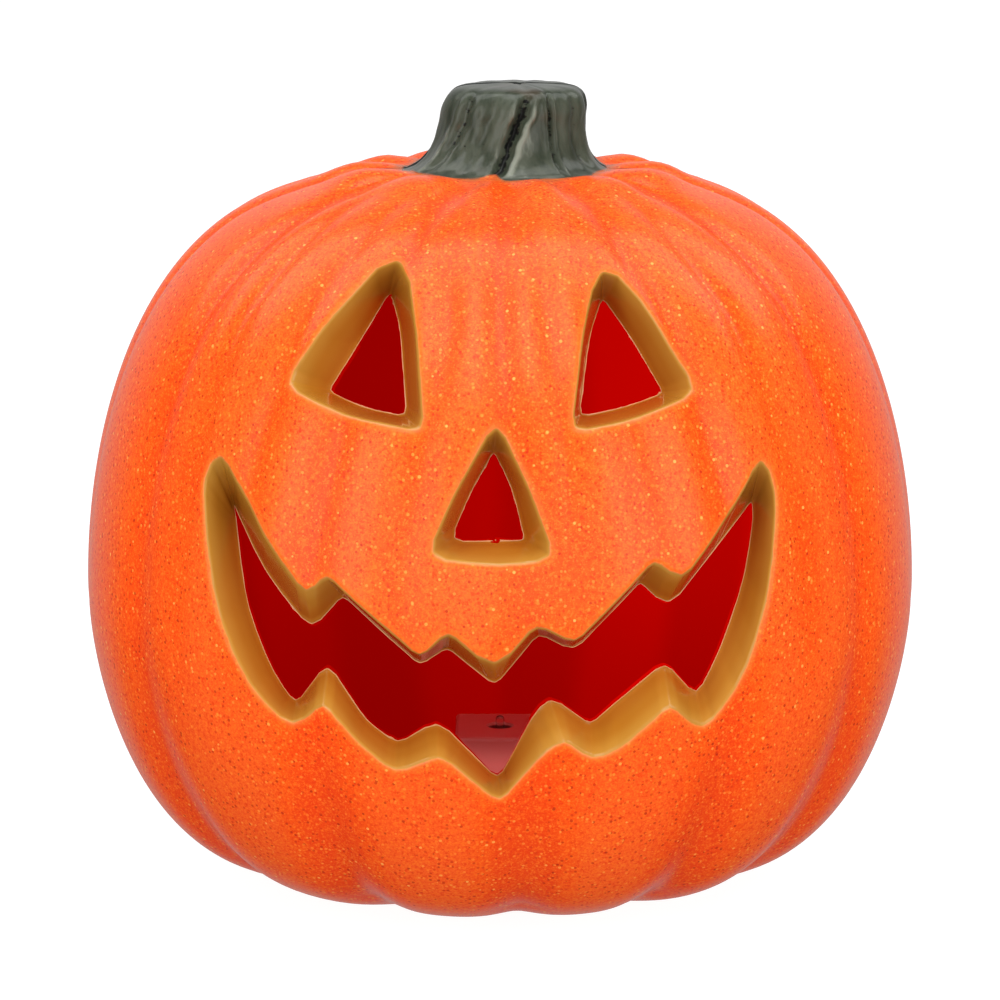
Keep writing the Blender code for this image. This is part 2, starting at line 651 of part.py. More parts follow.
def coil_points(x, start, end, turns=3, per_turn=12):
    """A conical coil about a line along Y, wide at its start."""
    wide, narrow = COIL_RADII
    points = []
    for i in range(turns * per_turn + 1):
        share = i / (turns * per_turn)
        angle = math.tau * i / per_turn
        radius = wide + (narrow - wide) * share
        points.append((x + radius * math.cos(angle), start + (end - start) * share,
                       CELL_Z + radius * math.sin(angle)))
    return points


def make_switch():
    """The slide switch: its case on the flange and its knob through the slot."""
    base = FLANGE_TOP + GAP
    x, y = SWITCH_HALF
    case = block("switch_case", (-x, SWITCH_Y - y, base), (x, SWITCH_Y + y, SWITCH_TOP), (BLACK, 0.45))
    reach = KNOB_TRAVEL / 2 + KNOB_HALF[0] + GAP
    room = block("knob_room", (-reach, SWITCH_Y - KNOB_ROOM, base - 2),
                 (reach, SWITCH_Y + KNOB_ROOM, KNOB_HIGH + 0.4))
    combine(case, "DIFFERENCE", room)
    knob = block("switch_knob", (KNOB_REST_X - KNOB_HALF[0], SWITCH_Y - KNOB_HALF[1], KNOB_LOW),
                 (KNOB_REST_X + KNOB_HALF[0], SWITCH_Y + KNOB_HALF[1], KNOB_HIGH), (BLACK, 0.4))
    grips = []
    for i, at in enumerate((-0.7, 0.0, 0.7), 1):
        x = KNOB_REST_X + at
        grips.append(block(f"knob_groove_{i}", (x - 0.2, SWITCH_Y - 3, KNOB_LOW - 0.3),
                           (x + 0.2, SWITCH_Y + 3, KNOB_LOW + 0.4)))
    combine(knob, "DIFFERENCE", *grips)


def make_door():
    """The battery door: two tabs on its front edge, a spring latch on its rear edge."""
    x, y = BAY_HALF[0] - GAP, BAY_HALF[1] - GAP
    door = block("battery_door", (-x, -y, FLANGE_BOTTOM), (x, y, FLANGE_TOP), (WHITE, 0.4))
    latch = block("latch_tongue", (-LATCH_HALF, y - 1, FLANGE_BOTTOM),
                  (LATCH_HALF, y + LATCH_LENGTH, FLANGE_TOP))
    combine(door, "UNION", latch)
    for i, side in enumerate((-1, 1), 1):
        middle = side * TAB_X
        upright = block(f"tab_upright_{i}", (middle - TAB_HALF - 0.1, -y, FLANGE_TOP - 1),
                        (middle + TAB_HALF + 0.1, -y + 1.2, TAB_HIGH + 0.1))
        tab = block(f"tab_{i}", (middle - TAB_HALF, -y - 1.1, TAB_LOW),
                    (middle + TAB_HALF, -y + 1.1, TAB_HIGH))
        combine(door, "UNION", upright, tab)
    dent = block("thumb_dent", (-3.5, y - 3.5, 0), (3.5, y - 1.5, FLANGE_BOTTOM + 0.7))
    grooves = [block(f"grip_groove_{i}", (-8, y - 7 - 2 * i, 0), (8, y - 6 - 2 * i, FLANGE_BOTTOM + 0.5))
               for i in range(3)]
    combine(door, "DIFFERENCE", dent, *grooves)


def make_wires():
    """Insulated leads, from the contacts and the switch up to the board."""
    under = BOARD_Z - GAP - WIRE_RADIUS
    roof = BAY_TOP - BAY_WALL - 1.1
    hole_x, hole_y = ROOF_HOLE
    for name, side, colour in (("wire_battery_red", -1, RED), ("wire_battery_black", 1, BLACK)):
        knots = [(side * CELL_X, PLATE_Y - 1.0, roof), (side * 8.6, 22, roof),
                 (side * 9.8, 16.2, roof + 0.4), (side * hole_x, hole_y, 25), (side * 9.6, 14, 31),
                 (side * 8, 12.5, under)]
        tube(name, smooth_route(knots, 4), WIRE_RADIUS, (colour, 0.5))
    for name, side, colour in (("wire_switch_in", -1, BLACK), ("wire_switch_out", 1, RED)):
        knots = [(side * 3, SWITCH_Y + 0.5, SWITCH_TOP + GAP + 0.3), (side * 3.2, SWITCH_Y + 0.8, 17),
                 (side * NOTCH_X, -31.5, 25), (side * NOTCH_X, -24, 27.3), (side * NOTCH_X, -18, 27),
                 (side * 4.2, -12.5, 29.5), (side * 4.5, -9, under)]
        tube(name, smooth_route(knots, 4), WIRE_RADIUS, (colour, 0.5))


def main():
    clear_scene()
    make_shell()
    make_housing()
    make_cap()
    make_board()
    make_lamp()
    make_screws()
    make_cells()
    make_contacts()
    make_switch()
    make_door()
    make_wires()


main()
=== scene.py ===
"""Looks of a battery jack-o'-lantern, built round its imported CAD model.

The shell is modelled again here with fine ribs, carved recesses with soft lips, a raw cut edge
and a grooved stem.  Every other node keeps its CAD shape and gets a detailed material.  Lengths
are millimetres in the CAD frame until a mesh is made: Z up, face along -Y, standing on Z = 0.
"""
import math

import bmesh
import bpy
import numpy as np
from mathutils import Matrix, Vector
from mathutils.geometry import delaunay_2d_cdt


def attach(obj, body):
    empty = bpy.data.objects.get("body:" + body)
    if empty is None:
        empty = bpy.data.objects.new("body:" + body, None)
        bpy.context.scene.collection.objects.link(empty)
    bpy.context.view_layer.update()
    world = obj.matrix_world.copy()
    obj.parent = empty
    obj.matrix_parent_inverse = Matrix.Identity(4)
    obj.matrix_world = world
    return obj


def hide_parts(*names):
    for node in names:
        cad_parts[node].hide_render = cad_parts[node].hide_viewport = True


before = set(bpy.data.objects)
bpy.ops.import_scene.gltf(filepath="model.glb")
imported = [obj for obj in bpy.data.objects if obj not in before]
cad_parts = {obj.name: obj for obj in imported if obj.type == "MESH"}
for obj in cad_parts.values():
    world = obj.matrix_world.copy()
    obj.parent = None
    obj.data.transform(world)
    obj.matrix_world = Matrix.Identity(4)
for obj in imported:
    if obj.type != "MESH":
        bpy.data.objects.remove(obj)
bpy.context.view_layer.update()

MM = 0.001

# Pumpkin body: two superellipse profiles that meet at the equator
BODY_RADIUS = 140.5
EQUATOR_Z = 96.5
UPPER_HEIGHT = 142.0
UPPER_POWERS = (3.66, 1.92)
LOWER_HEIGHT = 98.0
LOWER_POWERS = (5.0, 1.62)
LOWEST_ANGLE = 79.5
RING_OUTER = 66.0
WALL = 1.6
PROFILE_STEPS = 500
# The ribs' crowns stay inside the CAD model's box: shares of x, and of y in front
FIT_X = 0.9968
FIT_FRONT = 0.9932

# Ribs: grooves between them, as azimuths at the GROOVE_HEIGHTS above the equator, with 0 degrees
# at the front and 90 at +X.  Deep grooves part the lobes and shallow ones run along them.
GROOVE_HEIGHTS = (-88, 35, 105, 128)
FRONT_DEEP = ((-56, -57, -56, -54), (-26, -25.7, -21, -18), (4, 3, 0, 0), (32, 33, 28, 25),
              (56, 57, 55, 53))
FRONT_SHALLOW = ((-47, -48, -46, -43), (-38, -37, -33, -30), (-13, -13, -8, -10), (12, 10.6, 8, 7),
                 (21, 21, 15, 17), (45, 45, 41, 38))
BACK_DEEP = (84, 112, 140, 168, 196, 223, 249, 276)
BACK_SHALLOW = (98, 126, 154, 182, 209, 236, 262)
RIB_COUNT = len(FRONT_DEEP + BACK_DEEP)
# Tables of (height above the equator, depth) and of (height above the equator, half width in degrees)
DEEP_DEPTHS = ((-96, 1.5), (-90, 4.2), (-66, 3.9), (-30, 2.4), (0, 1.8), (60, 1.8), (90, 2.1),
               (110, 2.2), (132, 2.4), (139, 2.0), (141.6, 0.2))
DEEP_WIDTHS = ((-96, 6.0), (-30, 5.0), (20, 3.8), (60, 3.2), (100, 2.7), (128, 3.0), (137, 4.5), (141, 7.0))
SHALLOW_DEPTHS = ((-60, 0.0), (-20, 0.4), (20, 1.2), (60, 1.3), (90, 1.5), (115, 1.6), (130, 1.5),
                  (138, 0.7), (141.6, 0.0))
SHALLOW_WIDTHS = ((-60, 4.0), (30, 3.2), (100, 2.3), (128, 2.5), (137, 3.5), (141, 6.0))
CROWN_SWELL = ((136, 0.0), (138, 0.5), (139.5, 2.6), (140.3, 3.4), (141.2, 2.0), (141.6, 0.0))
GROOVE_SHARPNESS = 1.7
SWELL_SHARPNESS = 1.6

# Mesh density
COLUMNS = 330
ROW_STEP = 3.1
WINDOW_COLUMNS = 47           # columns of the face on each side of the front
WINDOW_LOW = -64.0
WINDOW_HIGH = 133.0
OUTLINE_STEP = 1.1
GUARD_DISTANCE = 1.4          # from a lip to the row of points that follows it
GUARD_CLEARANCE = 1.1
GRID_CLEARANCE = 2.2
HOLE_POINTS = 120
SCREW_HOLE_POINTS = 20

# Floor: a dished disc inside the standing ring, with a round opening and three screw holes
BASE_PROFILE = ((64.5, -96.5), (61.5, -96.5), (58.4, -96.4), (57.3, -95.9), (56.6, -94.8), (55.8, -92.6),
                (55.0, -91.2), (54.0, -90.8))
BASE_HOLE_RADIUS = 44.0
SCREW_CIRCLE = 48.0
SCREW_ANGLES = (30, 150, 270)
SCREW_HOLE_RADIUS = 1.5

# Stem: (radius, height above the equator), from its foot to the middle of its top
STEM_PROFILE = ((33.6, 141.6), (30.4, 143.4), (27.4, 146.8), (25.4, 151.5), (24.3, 157.0),
                (23.9, 162.5), (22.2, 166.9), (18.3, 169.1), (9.0, 169.85), (0.4, 170.05))
STEM_ROW_STEP = 1.0
STEM_FOOT_X = 2.2
STEM_LEAN = 0.13
STEM_SHIFT_START = 125.0
STEM_SIDE_LENGTH = 31.5       # along the profile, from the foot to where the top turns flat
# Grooves as (azimuth at the top, azimuth at the foot, depth, half width)
STEM_GROOVES = ((9, -9, 3.0, 1.6), (28, 38, 1.7, 0.8), (-16, -28, 0.9, 2.0), (-40, -58, 1.5, 1.8),
                (52, 66, 0.9, 2.0), (80, 92, 1.1, 2.2), (112, 122, 1.4, 1.8), (142, 150, 1.0, 2.0),
                (171, 180, 1.6, 1.6), (202, 208, 1.0, 2.2), (234, 240, 1.3, 1.8), (266, 272, 1.0, 2.2))

# Face: corners as (x, height above the equator, corner radius).  Each opening
# has a rim on the pumpkin's surface and a smaller cut edge RECESS deep.
RECESS = 16.0
LIP = 1.9
LIP_STEPS = 6
WALL_STEPS = 6
LEDGE_WIDTH = 0.20            # of the raw edge that the knife left, and how far it steps in and back
LEDGE_STEP = 0.08
LEDGE_DROPS = (0.12, 0.15)
LEFT_EYE_RIM = ((-30.5, 129, 6), (-54.5, 104.5, 80), (-68.5, 86, 4),
                (-51, 78.5, 100), (-24, 74.5, 3.5), (-26, 102.5, 100))
LEFT_EYE_CUT = ((-35, 111.5, 1.5), (-45, 96, 100), (-54.5, 81.5, 1.5),
                (-44, 77.5, 100), (-29, 75.5, 2.5), (-31.5, 102, 60))
RIGHT_EYE_RIM = ((31.3, 123, 5), (26, 102.5, 100), (22.5, 74.5, 3.5),
                 (43.5, 77.5, 100), (63, 84.5, 4), (44.5, 113, 60))
RIGHT_EYE_CUT = ((32.5, 110, 1.5), (28, 99, 60), (24.5, 75.5, 2.5),
                 (40.5, 78, 100), (52, 81, 1.5), (42, 97.5, 100))
NOSE_RIM = ((-1, 78.5, 3), (-14.5, 55, 100), (-22.5, 37, 4),
            (0, 34.5, 200), (17, 36.5, 4), (9.5, 56.5, 100))
NOSE_CUT = ((-2, 66.5, 1), (-9.5, 53.5, 60), (-16, 38.5, 3),
            (-1.5, 38.8, 200), (8, 39, 1.5), (4, 55.5, 60))
MOUTH_RIM = ((-88.5, 63.5, 3), (-74, 39.5, 60), (-61.5, 22.5, 4), (-54.5, 29.5, 3), (-25, 5.5, 4),
             (-16, 14, 3), (-1.5, 1.5, 8), (11.5, 16, 4), (23.5, 10, 5), (48.5, 34.5, 3),
             (57, 27.5, 5), (75, 49, 60), (82.5, 64, 3), (87.5, 51.5, 30), (85, 18, 150),
             (76, -10, 60), (64, -22, 5), (53.5, -11.5, 4), (37, -25, 15), (29, -28, 6),
             (20.5, -21.5, 4), (14.5, -25, 15), (0, -42.5, 3), (-15, -28.5, 10), (-19.5, -26.5, 6),
             (-33, -32.5, 6), (-44, -23.5, 60), (-56, -11.5, 4), (-66, -21, 5), (-79.5, -8.5, 60),
             (-89.5, 11, 100), (-93, 35.5, 150), (-94.5, 55, 25))
MOUTH_CUT = ((-85.5, 45, 1), (-74.5, 24.5, 60), (-59.5, 8.5, 4), (-49.5, 20.5, 2.5), (-25, 0, 3),
             (-16.5, 6, 3), (-1.5, -6, 2.5), (12, 10.5, 3.5), (23, 4.5, 5), (44, 25, 1.5),
             (53, 16, 5), (68.5, 33.5, 60), (80.5, 46.5, 1), (81, 41, 30), (78.5, 23.5, 150),
             (70.5, 1, 150), (62.5, -14.5, 3), (52, -1.5, 3.5), (36.5, -13.5, 60), (28.5, -20.5, 3),
             (15.5, -10, 5), (9.5, -18.5, 20), (-0.5, -39, 2.5), (-12, -26.5, 15), (-19.5, -18.5, 6),
             (-32.5, -27.5, 5), (-42.5, -20, 20), (-54.5, -2, 3), (-65, -17.5, 2.5), (-72.5, -7.5, 60),
             (-80.5, 11.5, 100), (-83, 26.5, 150), (-84.5, 39, 60))
OPENINGS = ((LEFT_EYE_RIM, LEFT_EYE_CUT), (RIGHT_EYE_RIM, RIGHT_EYE_CUT), (NOSE_RIM, NOSE_CUT),
            (MOUTH_RIM, MOUTH_CUT))
CORNER_PULL = 0.9             # how close a rounded corner comes to the sharp one
CORNER_POINTS = 12
CORNER_SHARE = 0.45           # of the sides beside a corner that its rounding may take
TIGHT_SHARE = 0.7             # of a corner's radius that a line inside it may move
FAR = 40.0                    # paint marks away from any rim, and the most that they reach

# Flecks in the paint: cells per metre, size and share of the cells, shift of the cells, how much
# they cover, and the two colours that they vary between
DARK_FLECKS = (720, 0.42, 0.22, 3.7, 0.75, (0.44, 0.016, 0.001), (0.80, 0.042, 0.002))
GOLD_FLECKS = (700, 0.42, 0.19, 0.0, 0.70, (1.0, 0.16, 0.008), (1.0, 0.30, 0.035))
LARGE_FLECKS = (480, 0.30, 0.06, 1.9, 0.70, (1.0, 0.28, 0.025), (1.0, 0.48, 0.09))

# Dish round the lamp, in metres
DISH_RADIUS = 0.0040
DISH_LOW = 0.0444

# Camera and light
CAMERA_DISTANCE = 1.5
CAMERA_ELEVATION = math.radians(12)
CAMERA_TILT = math.radians(1.0824)
CAMERA_LENS = 159.1
AMBIENT = 0.67
FLOOR_REACH = 4.0
LIT_POINT = (0, 0, 0.12)
# Lights as (name, place, size, power), aimed at LIT_POINT: softboxes that light the object, and
# strips that only show in its gloss
SOFTBOXES = (("left_softbox", (-1.35, -1.35, 0.5), (1.4, 1.1), 7),
             ("right_softbox", (1.35, -1.35, 0.5), (1.4, 1.1), 8.5),
             ("front_softbox", (0.0, -1.9, 0.3), (1.6, 0.6), 8),
             ("top_softbox", (0.0, -0.9, 1.6), (2.0, 1.2), 25),
             ("back_softbox", (0.0, 1.9, 0.9), (1.6, 1.0), 10))
STRIPS = (("left_strip", (-1.15, -1.15, 0.45), (0.9, 1.1), 3.6),
          ("right_strip", (1.15, -1.15, 0.45), (0.9, 1.1), 3.5),
          ("top_strip", (0.0, -0.42, 1.42), (0.6, 1.7), 4.0),
          ("left_top_strip", (-0.6, 0.25, 1.15), (0.7, 1.2), 4.0),
          ("right_top_strip", (0.6, 0.25, 1.15), (0.7, 1.2), 4.0))


# --- Body surface

def read_table(table, values):
    """Linear reading of a table of (position, value) pairs, for an array of positions."""
    return np.interp(values, [row[0] for row in table], [row[1] for row in table])


def arc_lengths(points):
    """Distance along a polyline, at each of its points."""
    steps = np.hypot(*np.diff(points, axis=0).T)
    return np.concatenate(([0.0], np.cumsum(steps)))


def half_profile(angles, height, powers):
    """Columns of radius and height along one superellipse, from its angles."""
    p, q = powers
    return np.column_stack((BODY_RADIUS * np.cos(angles) ** (2 / p), height * np.sin(angles) ** (2 / q)))


def body_profile():
    """Columns of arc length, radius and height, from the ring's edge to the stem's foot."""
    low = np.radians(np.linspace(LOWEST_ANGLE, 0, PROFILE_STEPS))
    lower = half_profile(low, -LOWER_HEIGHT, LOWER_POWERS)
    foot_angle = math.acos((STEM_PROFILE[0][0] / BODY_RADIUS) ** (UPPER_POWERS[0] / 2))
    high = np.linspace(0, foot_angle, PROFILE_STEPS)[1:]
    upper = half_profile(high, UPPER_HEIGHT, UPPER_POWERS)
    points = np.vstack(([[RING_OUTER, -EQUATOR_Z]], lower, upper))
    return np.column_stack((arc_lengths(points), points))


PROFILE = body_profile()
ARC_TOTAL = PROFILE[-1, 0]


def profile_at(arc):
    """Radius and height above the equator at arc lengths along the profile."""
    return np.interp(arc, PROFILE[:, 0], PROFILE[:, 1]), np.interp(arc, PROFILE[:, 0], PROFILE[:, 2])


def stem_shift(height):
    """Sideways place of the stem's and body's middle, by height above the equator."""
    foot = STEM_PROFILE[0][1]
    blend = np.clip((height - STEM_SHIFT_START) / (foot - STEM_SHIFT_START), 0, 1)
    return STEM_FOOT_X * blend ** 2 + STEM_LEAN * np.maximum(height - foot, 0)


def groove_depth(azimuth, height):
    """Depth of the ribs' grooves below the round body, less the swell of the crowns between them."""
    degrees = np.degrees(azimuth)
    deep, shallow = np.zeros_like(height), np.zeros_like(height)
    for share, grooves, widths in ((deep, FRONT_DEEP + BACK_DEEP, DEEP_WIDTHS),
                                   (shallow, FRONT_SHALLOW + BACK_SHALLOW, SHALLOW_WIDTHS)):
        for groove in grooves:
            middle = np.interp(height, GROOVE_HEIGHTS, np.broadcast_to(groove, len(GROOVE_HEIGHTS)))
            off = (degrees - middle + 180) % 360 - 180
            share += np.exp(-np.abs(off / read_table(widths, height)) ** GROOVE_SHARPNESS)
    ribs = deep * read_table(DEEP_DEPTHS, height) + shallow * read_table(SHALLOW_DEPTHS, height)
    swell = read_table(CROWN_SWELL, height) * np.clip(1 - SWELL_SHARPNESS * deep, 0, 1)
    return ribs - swell


def around(radius, azimuth, height):
    """Points from cylinder coordinates about the shifted middle."""
    return np.stack((stem_shift(height) + radius * np.sin(azimuth), -radius * np.cos(azimuth),
                     EQUATOR_Z + height), axis=-1)


def fitted(points):
    """Points of the body, drawn in by a fraction of a millimetre."""
    x, y, z = np.moveaxis(points, -1, 0)
    return np.stack((x * FIT_X, np.where(y < 0, y * FIT_FRONT, y), z), axis=-1)


def surface(azimuth, arc):
    """Points on the ribbed body."""
    radius, height = profile_at(arc)
    radius_ahead, height_ahead = profile_at(np.minimum(arc + 1, ARC_TOTAL))
    radius_behind, height_behind = profile_at(np.maximum(arc - 1, 0))
    slope_r, slope_z = radius_ahead - radius_behind, height_ahead - height_behind
    length = np.hypot(slope_r, slope_z)
    depth = groove_depth(azimuth, height)
    return fitted(around(radius - depth * slope_z / length, azimuth, height + depth * slope_r / length))


def rib_relief(azimuth, arc):
    """How deep in the ribs' grooves each place of the body is."""
    return groove_depth(azimuth, profile_at(arc)[1])


def place_on_body(points):
    """(azimuth, arc) of the body's front at (x, height) points."""
    arc = np.interp(points[:, 1], PROFILE[:, 2], PROFILE[:, 0])
    return np.column_stack((np.arcsin(points[:, 0] / profile_at(arc)[0]), arc))


def place_on_recess(points):
    """Points of the front at (x, height), on the body shrunk by the recess depth."""
    x, height = points.T
    upper = height >= 0
    p = np.where(upper, UPPER_POWERS[0], LOWER_POWERS[0])
    q = np.where(upper, UPPER_POWERS[1], LOWER_POWERS[1])
    tall = np.where(upper, UPPER_HEIGHT, LOWER_HEIGHT) - RECESS
    radius = (BODY_RADIUS - RECESS) * (1 - (np.abs(height) / tall) ** q) ** (1 / p)
    return fitted(np.column_stack((x, -np.sqrt(radius ** 2 - x ** 2), EQUATOR_Z + height)))


# --- Outlines of the openings

def corner_trims(corners):
    """Start and end of each rounded corner."""
    points = np.array([c[:2] for c in corners], float)
    to_before = np.roll(points, 1, axis=0) - points
    to_after = np.roll(points, -1, axis=0) - points
    before, after = np.hypot(*to_before.T), np.hypot(*to_after.T)
    cosine = np.sum(to_before * to_after, axis=1) / (before * after)
    half = np.arccos(np.clip(cosine, -1, 1)) / 2
    radii = np.array([c[2] for c in corners], float)
    trim = np.minimum(radii / np.tan(half), CORNER_SHARE * np.minimum(before, after))[:, None]
    return points, points + to_before / before[:, None] * trim, points + to_after / after[:, None] * trim


def outline_counts(corners):
    """How many points each corner's arc and the straight after it get."""
    points, starts, ends = corner_trims(corners)
    bend = np.hypot(*(starts - points).T) + np.hypot(*(ends - points).T)
    straight = np.hypot(*(np.roll(starts, -1, axis=0) - ends).T)
    bends = np.maximum(CORNER_POINTS, bend / OUTLINE_STEP)
    straights = np.maximum(1, straight / OUTLINE_STEP)
    return bends.astype(int), straights.astype(int)


def outline(corners, counts):
    """The closed outline through the corners, each rounded by its radius."""
    points, starts, ends = corner_trims(corners)
    rows = []
    corner_rows = zip(points, starts, ends, np.roll(starts, -1, axis=0), *counts)
    for corner, start, end, following, bends, straights in corner_rows:
        t = np.linspace(0, 1, bends)[:, None]
        pulled = 2 * t * (1 - t) * CORNER_PULL
        rows.append((start * (1 - t) + end * t) * (1 - pulled) + corner * pulled)
        t = np.linspace(0, 1, straights + 1, endpoint=False)[1:, None]
        rows.append(end * (1 - t) + following * t)
    return np.vstack(rows)


def turning(points):
    """1 if the outline runs anticlockwise, -1 if clockwise."""
    x, y = points.T
    return 1 if np.sum(x * np.roll(y, -1) - y * np.roll(x, -1)) > 0 else -1


def tight_reach(places, radius, distance, side):
    """How far each point of a closed line can move outwards, up to a distance."""
    step = np.roll(places, -1, axis=0) - places
    step[:, 0] *= radius
    length = np.hypot(*step.T)
    heading = np.unwrap(np.arctan2(step[:, 1], step[:, 0]))
    bend = -side * (heading - np.roll(heading, 1) + math.pi) % math.tau - math.pi
    room = TIGHT_SHARE * (length + np.roll(length, 1)) / 2 / np.maximum(bend, 1e-6)
    room = np.minimum.reduce([np.roll(room, k) for k in range(-4, 5)])
    return np.mean([np.roll(np.minimum(room, distance), k) for k in range(-3, 4)], axis=0)


def grown_on_body(places, distance, side):
    """A closed line of (azimuth, arc) places, moved outwards by a distance on the surface.

    Tight corners move less, so that the line never crosses itself."""
    radius = profile_at(places[:, 1])[0]
    reach = tight_reach(places, radius, distance, side)
    along = np.roll(places, -1, axis=0) - np.roll(places, 1, axis=0)
    along[:, 0] *= radius
    along /= np.hypot(*along.T)[:, None]
    return places + side * reach[:, None] * np.column_stack((along[:, 1] / radius, -along[:, 0]))


def unit(vectors):
    return vectors / np.linalg.norm(vectors, axis=1)[:, None]


class Opening:
    """One carved opening: its lip's outer line on the body, and the rows of its recess."""

    def __init__(self, rim, cut, seed):
        counts = outline_counts(rim)
        rim_line, cut_line = outline(rim, counts), outline(cut, counts)
        self.side = turning(rim_line)
        self.rim_places = place_on_body(rim_line)
        self.line = grown_on_body(self.rim_places, LIP, self.side)
        self.first = None
        self.rows, self.marks, self.raw = [], [], []
        corner, end = surface(*self.rim_places.T), place_on_recess(cut_line)
        inwards = unit(end - corner)
        lip_end = corner + LIP * inwards
        self.add_lip(corner, lip_end)
        self.add_wall(lip_end, end)
        self.add_ledge(end, inwards, np.linalg.norm(end - lip_end, axis=1), seed)

    def add_lip(self, corner, lip_end):
        """The rounded edge between the body and the recess."""
        start = surface(*self.line.T)
        for t in np.arange(1, LIP_STEPS + 1) / LIP_STEPS:
            curve = start * (1 - t) ** 2 + corner * 2 * t * (1 - t) + lip_end * t ** 2
            self.add(curve, LIP * (1 - 2 * t))

    def add_wall(self, lip_end, end):
        """The recess's wall, down to the cut edge."""
        length = np.linalg.norm(end - lip_end, axis=1)
        for t in np.arange(1, WALL_STEPS + 1) / WALL_STEPS:
            self.add(lip_end * (1 - t) + end * t, -LIP - t * length)

    def add_ledge(self, end, inwards, length, seed):
        """The raw edge that the knife left round the opening."""
        tangent = unit(np.roll(end, -1, axis=0) - np.roll(end, 1, axis=0))
        to_middle = self.side * unit(np.cross(tangent, inwards))
        width = self.ledge_width(len(end), seed)[:, None]
        near_drop, far_drop = LEDGE_DROPS
        self.add(end + LEDGE_STEP * to_middle + near_drop * inwards, -LIP - length - 0.3, 0.5)
        self.add(end + (LEDGE_STEP + width) * to_middle + far_drop * inwards, -LIP - length - 1.0, 1.0)

    def add(self, points, mark, raw=0.0):
        self.rows.append(points)
        self.marks.append(np.broadcast_to(mark, len(points)))
        self.raw.append(raw)

    @staticmethod
    def ledge_width(count, seed):
        """Uneven width of the knife-cut edge round the opening."""
        random = np.random.default_rng(seed)
        turn = np.linspace(0, math.tau, count, endpoint=False)
        width = np.full(count, LEDGE_WIDTH)
        for waves in (3, 5, 9, 16, 27, 41):
            width += 0.03 * np.sin(waves * turn + random.uniform(0, math.tau))
        for _ in range(3):
            off = np.abs(np.arange(count) - random.integers(count))
            width += random.uniform(0.15, 0.4) * np.exp(-(np.minimum(off, count - off) / 1.6) ** 2)
        return np.maximum(width, 0.05)


# --- Collecting the mesh

class Skin:
    """Vertices with their paint marks, and faces, of one open sheet."""

    def __init__(self):
        self.points, self.rim, self.stem, self.raw, self.relief = [], [], [], [], []
        self.count = 0
        self.faces = []

    def add(self, points, rim=FAR, stem=-FAR, raw=0.0, relief=0.0):
        """Adds points and returns the index of the first."""
        first, count = self.count, len(points)
        self.points.append(points)
        for store, mark in ((self.rim, rim), (self.stem, stem), (self.raw, raw), (self.relief, relief)):
            store.append(np.broadcast_to(mark, count))
        self.count += count
        return first

    def bridge(self, lower, upper, closed=True):
        """Quads between two lines of vertex indices."""
        a, b = np.asarray(lower), np.asarray(upper)
        a2, b2 = np.roll(a, -1), np.roll(b, -1)
        quads = np.column_stack((a, a2, b2, b))
        self.faces += (quads if closed else quads[:-1]).tolist()

    def make(self, name):
        """The mesh object, without the vertices that no face uses."""
        used = np.unique(np.concatenate([np.asarray(f) for f in self.faces]))
        new_index = np.full(self.count, -1)
        new_index[used] = np.arange(len(used))
        points = np.vstack(self.points)[used] * MM
        mesh = bpy.data.meshes.new(name)
        mesh.from_pydata(points.tolist(), [], [new_index[f].tolist() for f in self.faces])
        marks = {"rim": self.rim, "stem": self.stem, "raw": self.raw, "relief": self.relief}
        for label, values in marks.items():
            attribute = mesh.attributes.new(label, "FLOAT", "POINT")
            attribute.data.foreach_set("value", np.concatenate(values)[used].astype(np.float32))
        obj = bpy.data.objects.new(name, mesh)
        bpy.context.scene.collection.objects.link(obj)
        return obj


def segment_distance(points, line):
    """Distance of each point from a closed line."""
    best = np.full(len(points), np.inf)
    for a, b in zip(line, np.roll(line, -1, axis=0)):
        along = b - a
        t = np.clip(((points - a) @ along) / max(along @ along, 1e-12), 0, 1)
        best = np.minimum(best, np.hypot(*(points - a - t[:, None] * along).T))
    return best


def is_inside(points, line):
    """Whether each point is inside a closed line."""
    inside = np.zeros(len(points), bool)
    x, y = points.T
    for (ax, ay), (bx, by) in zip(line, np.roll(line, -1, axis=0)):
        if ay != by:
            crossing = ((ay > y) != (by > y)) & (x < (bx - ax) * (y - ay) / (by - ay) + ax)
            inside ^= crossing
    return inside


class Patch:
    """Flat points with the skin's vertices that they stand for, and closed lines along them."""

    def __init__(self):
        self.flats, self.owners, self.lines = [], [], []
        self.count = 0

    def add(self, flat, owners, closed=True):
        if closed:
            self.lines.append(list(range(self.count, self.count + len(flat))))
        self.flats.append(flat)
        self.owners.append(owners)
        self.count += len(flat)

    def edges(self):
        return [edge for line in self.lines for edge in zip(line, line[1:] + line[:1])]


def triangulate(skin, patch, holes):
    """Adds triangles over a patch, with its closed lines as edges, except inside the holes."""
    spots = [Vector(p) for p in np.vstack(patch.flats)]
    verts, _, faces, sources, _, _ = delaunay_2d_cdt(spots, patch.edges(), [], 0, 1e-6)
    places = np.array([v[:] for v in verts])
    faces = np.array(faces)
    centres = places[faces].mean(axis=1)
    kept = ~np.logical_or.reduce([is_inside(centres, hole) for hole in holes])
    indices = np.concatenate(patch.owners)
    owner = np.array([indices[s[0]] if s else -1 for s in sources])
    for face in owner[faces[kept]]:
        if min(face) >= 0:
            skin.faces.append(face.tolist())


# --- Shell

def column_azimuths():
    return np.arange(COLUMNS) * math.tau / COLUMNS


def flattened(places):
    """Places of the body in millimetres round it and along it, to measure between them."""
    return places * (BODY_RADIUS, 1.0)


def rim_distance(places, openings):
    """Distance of each place from the nearest rim."""
    flat = flattened(places)
    return np.minimum.reduce([segment_distance(flat, flattened(o.rim_places)) for o in openings])


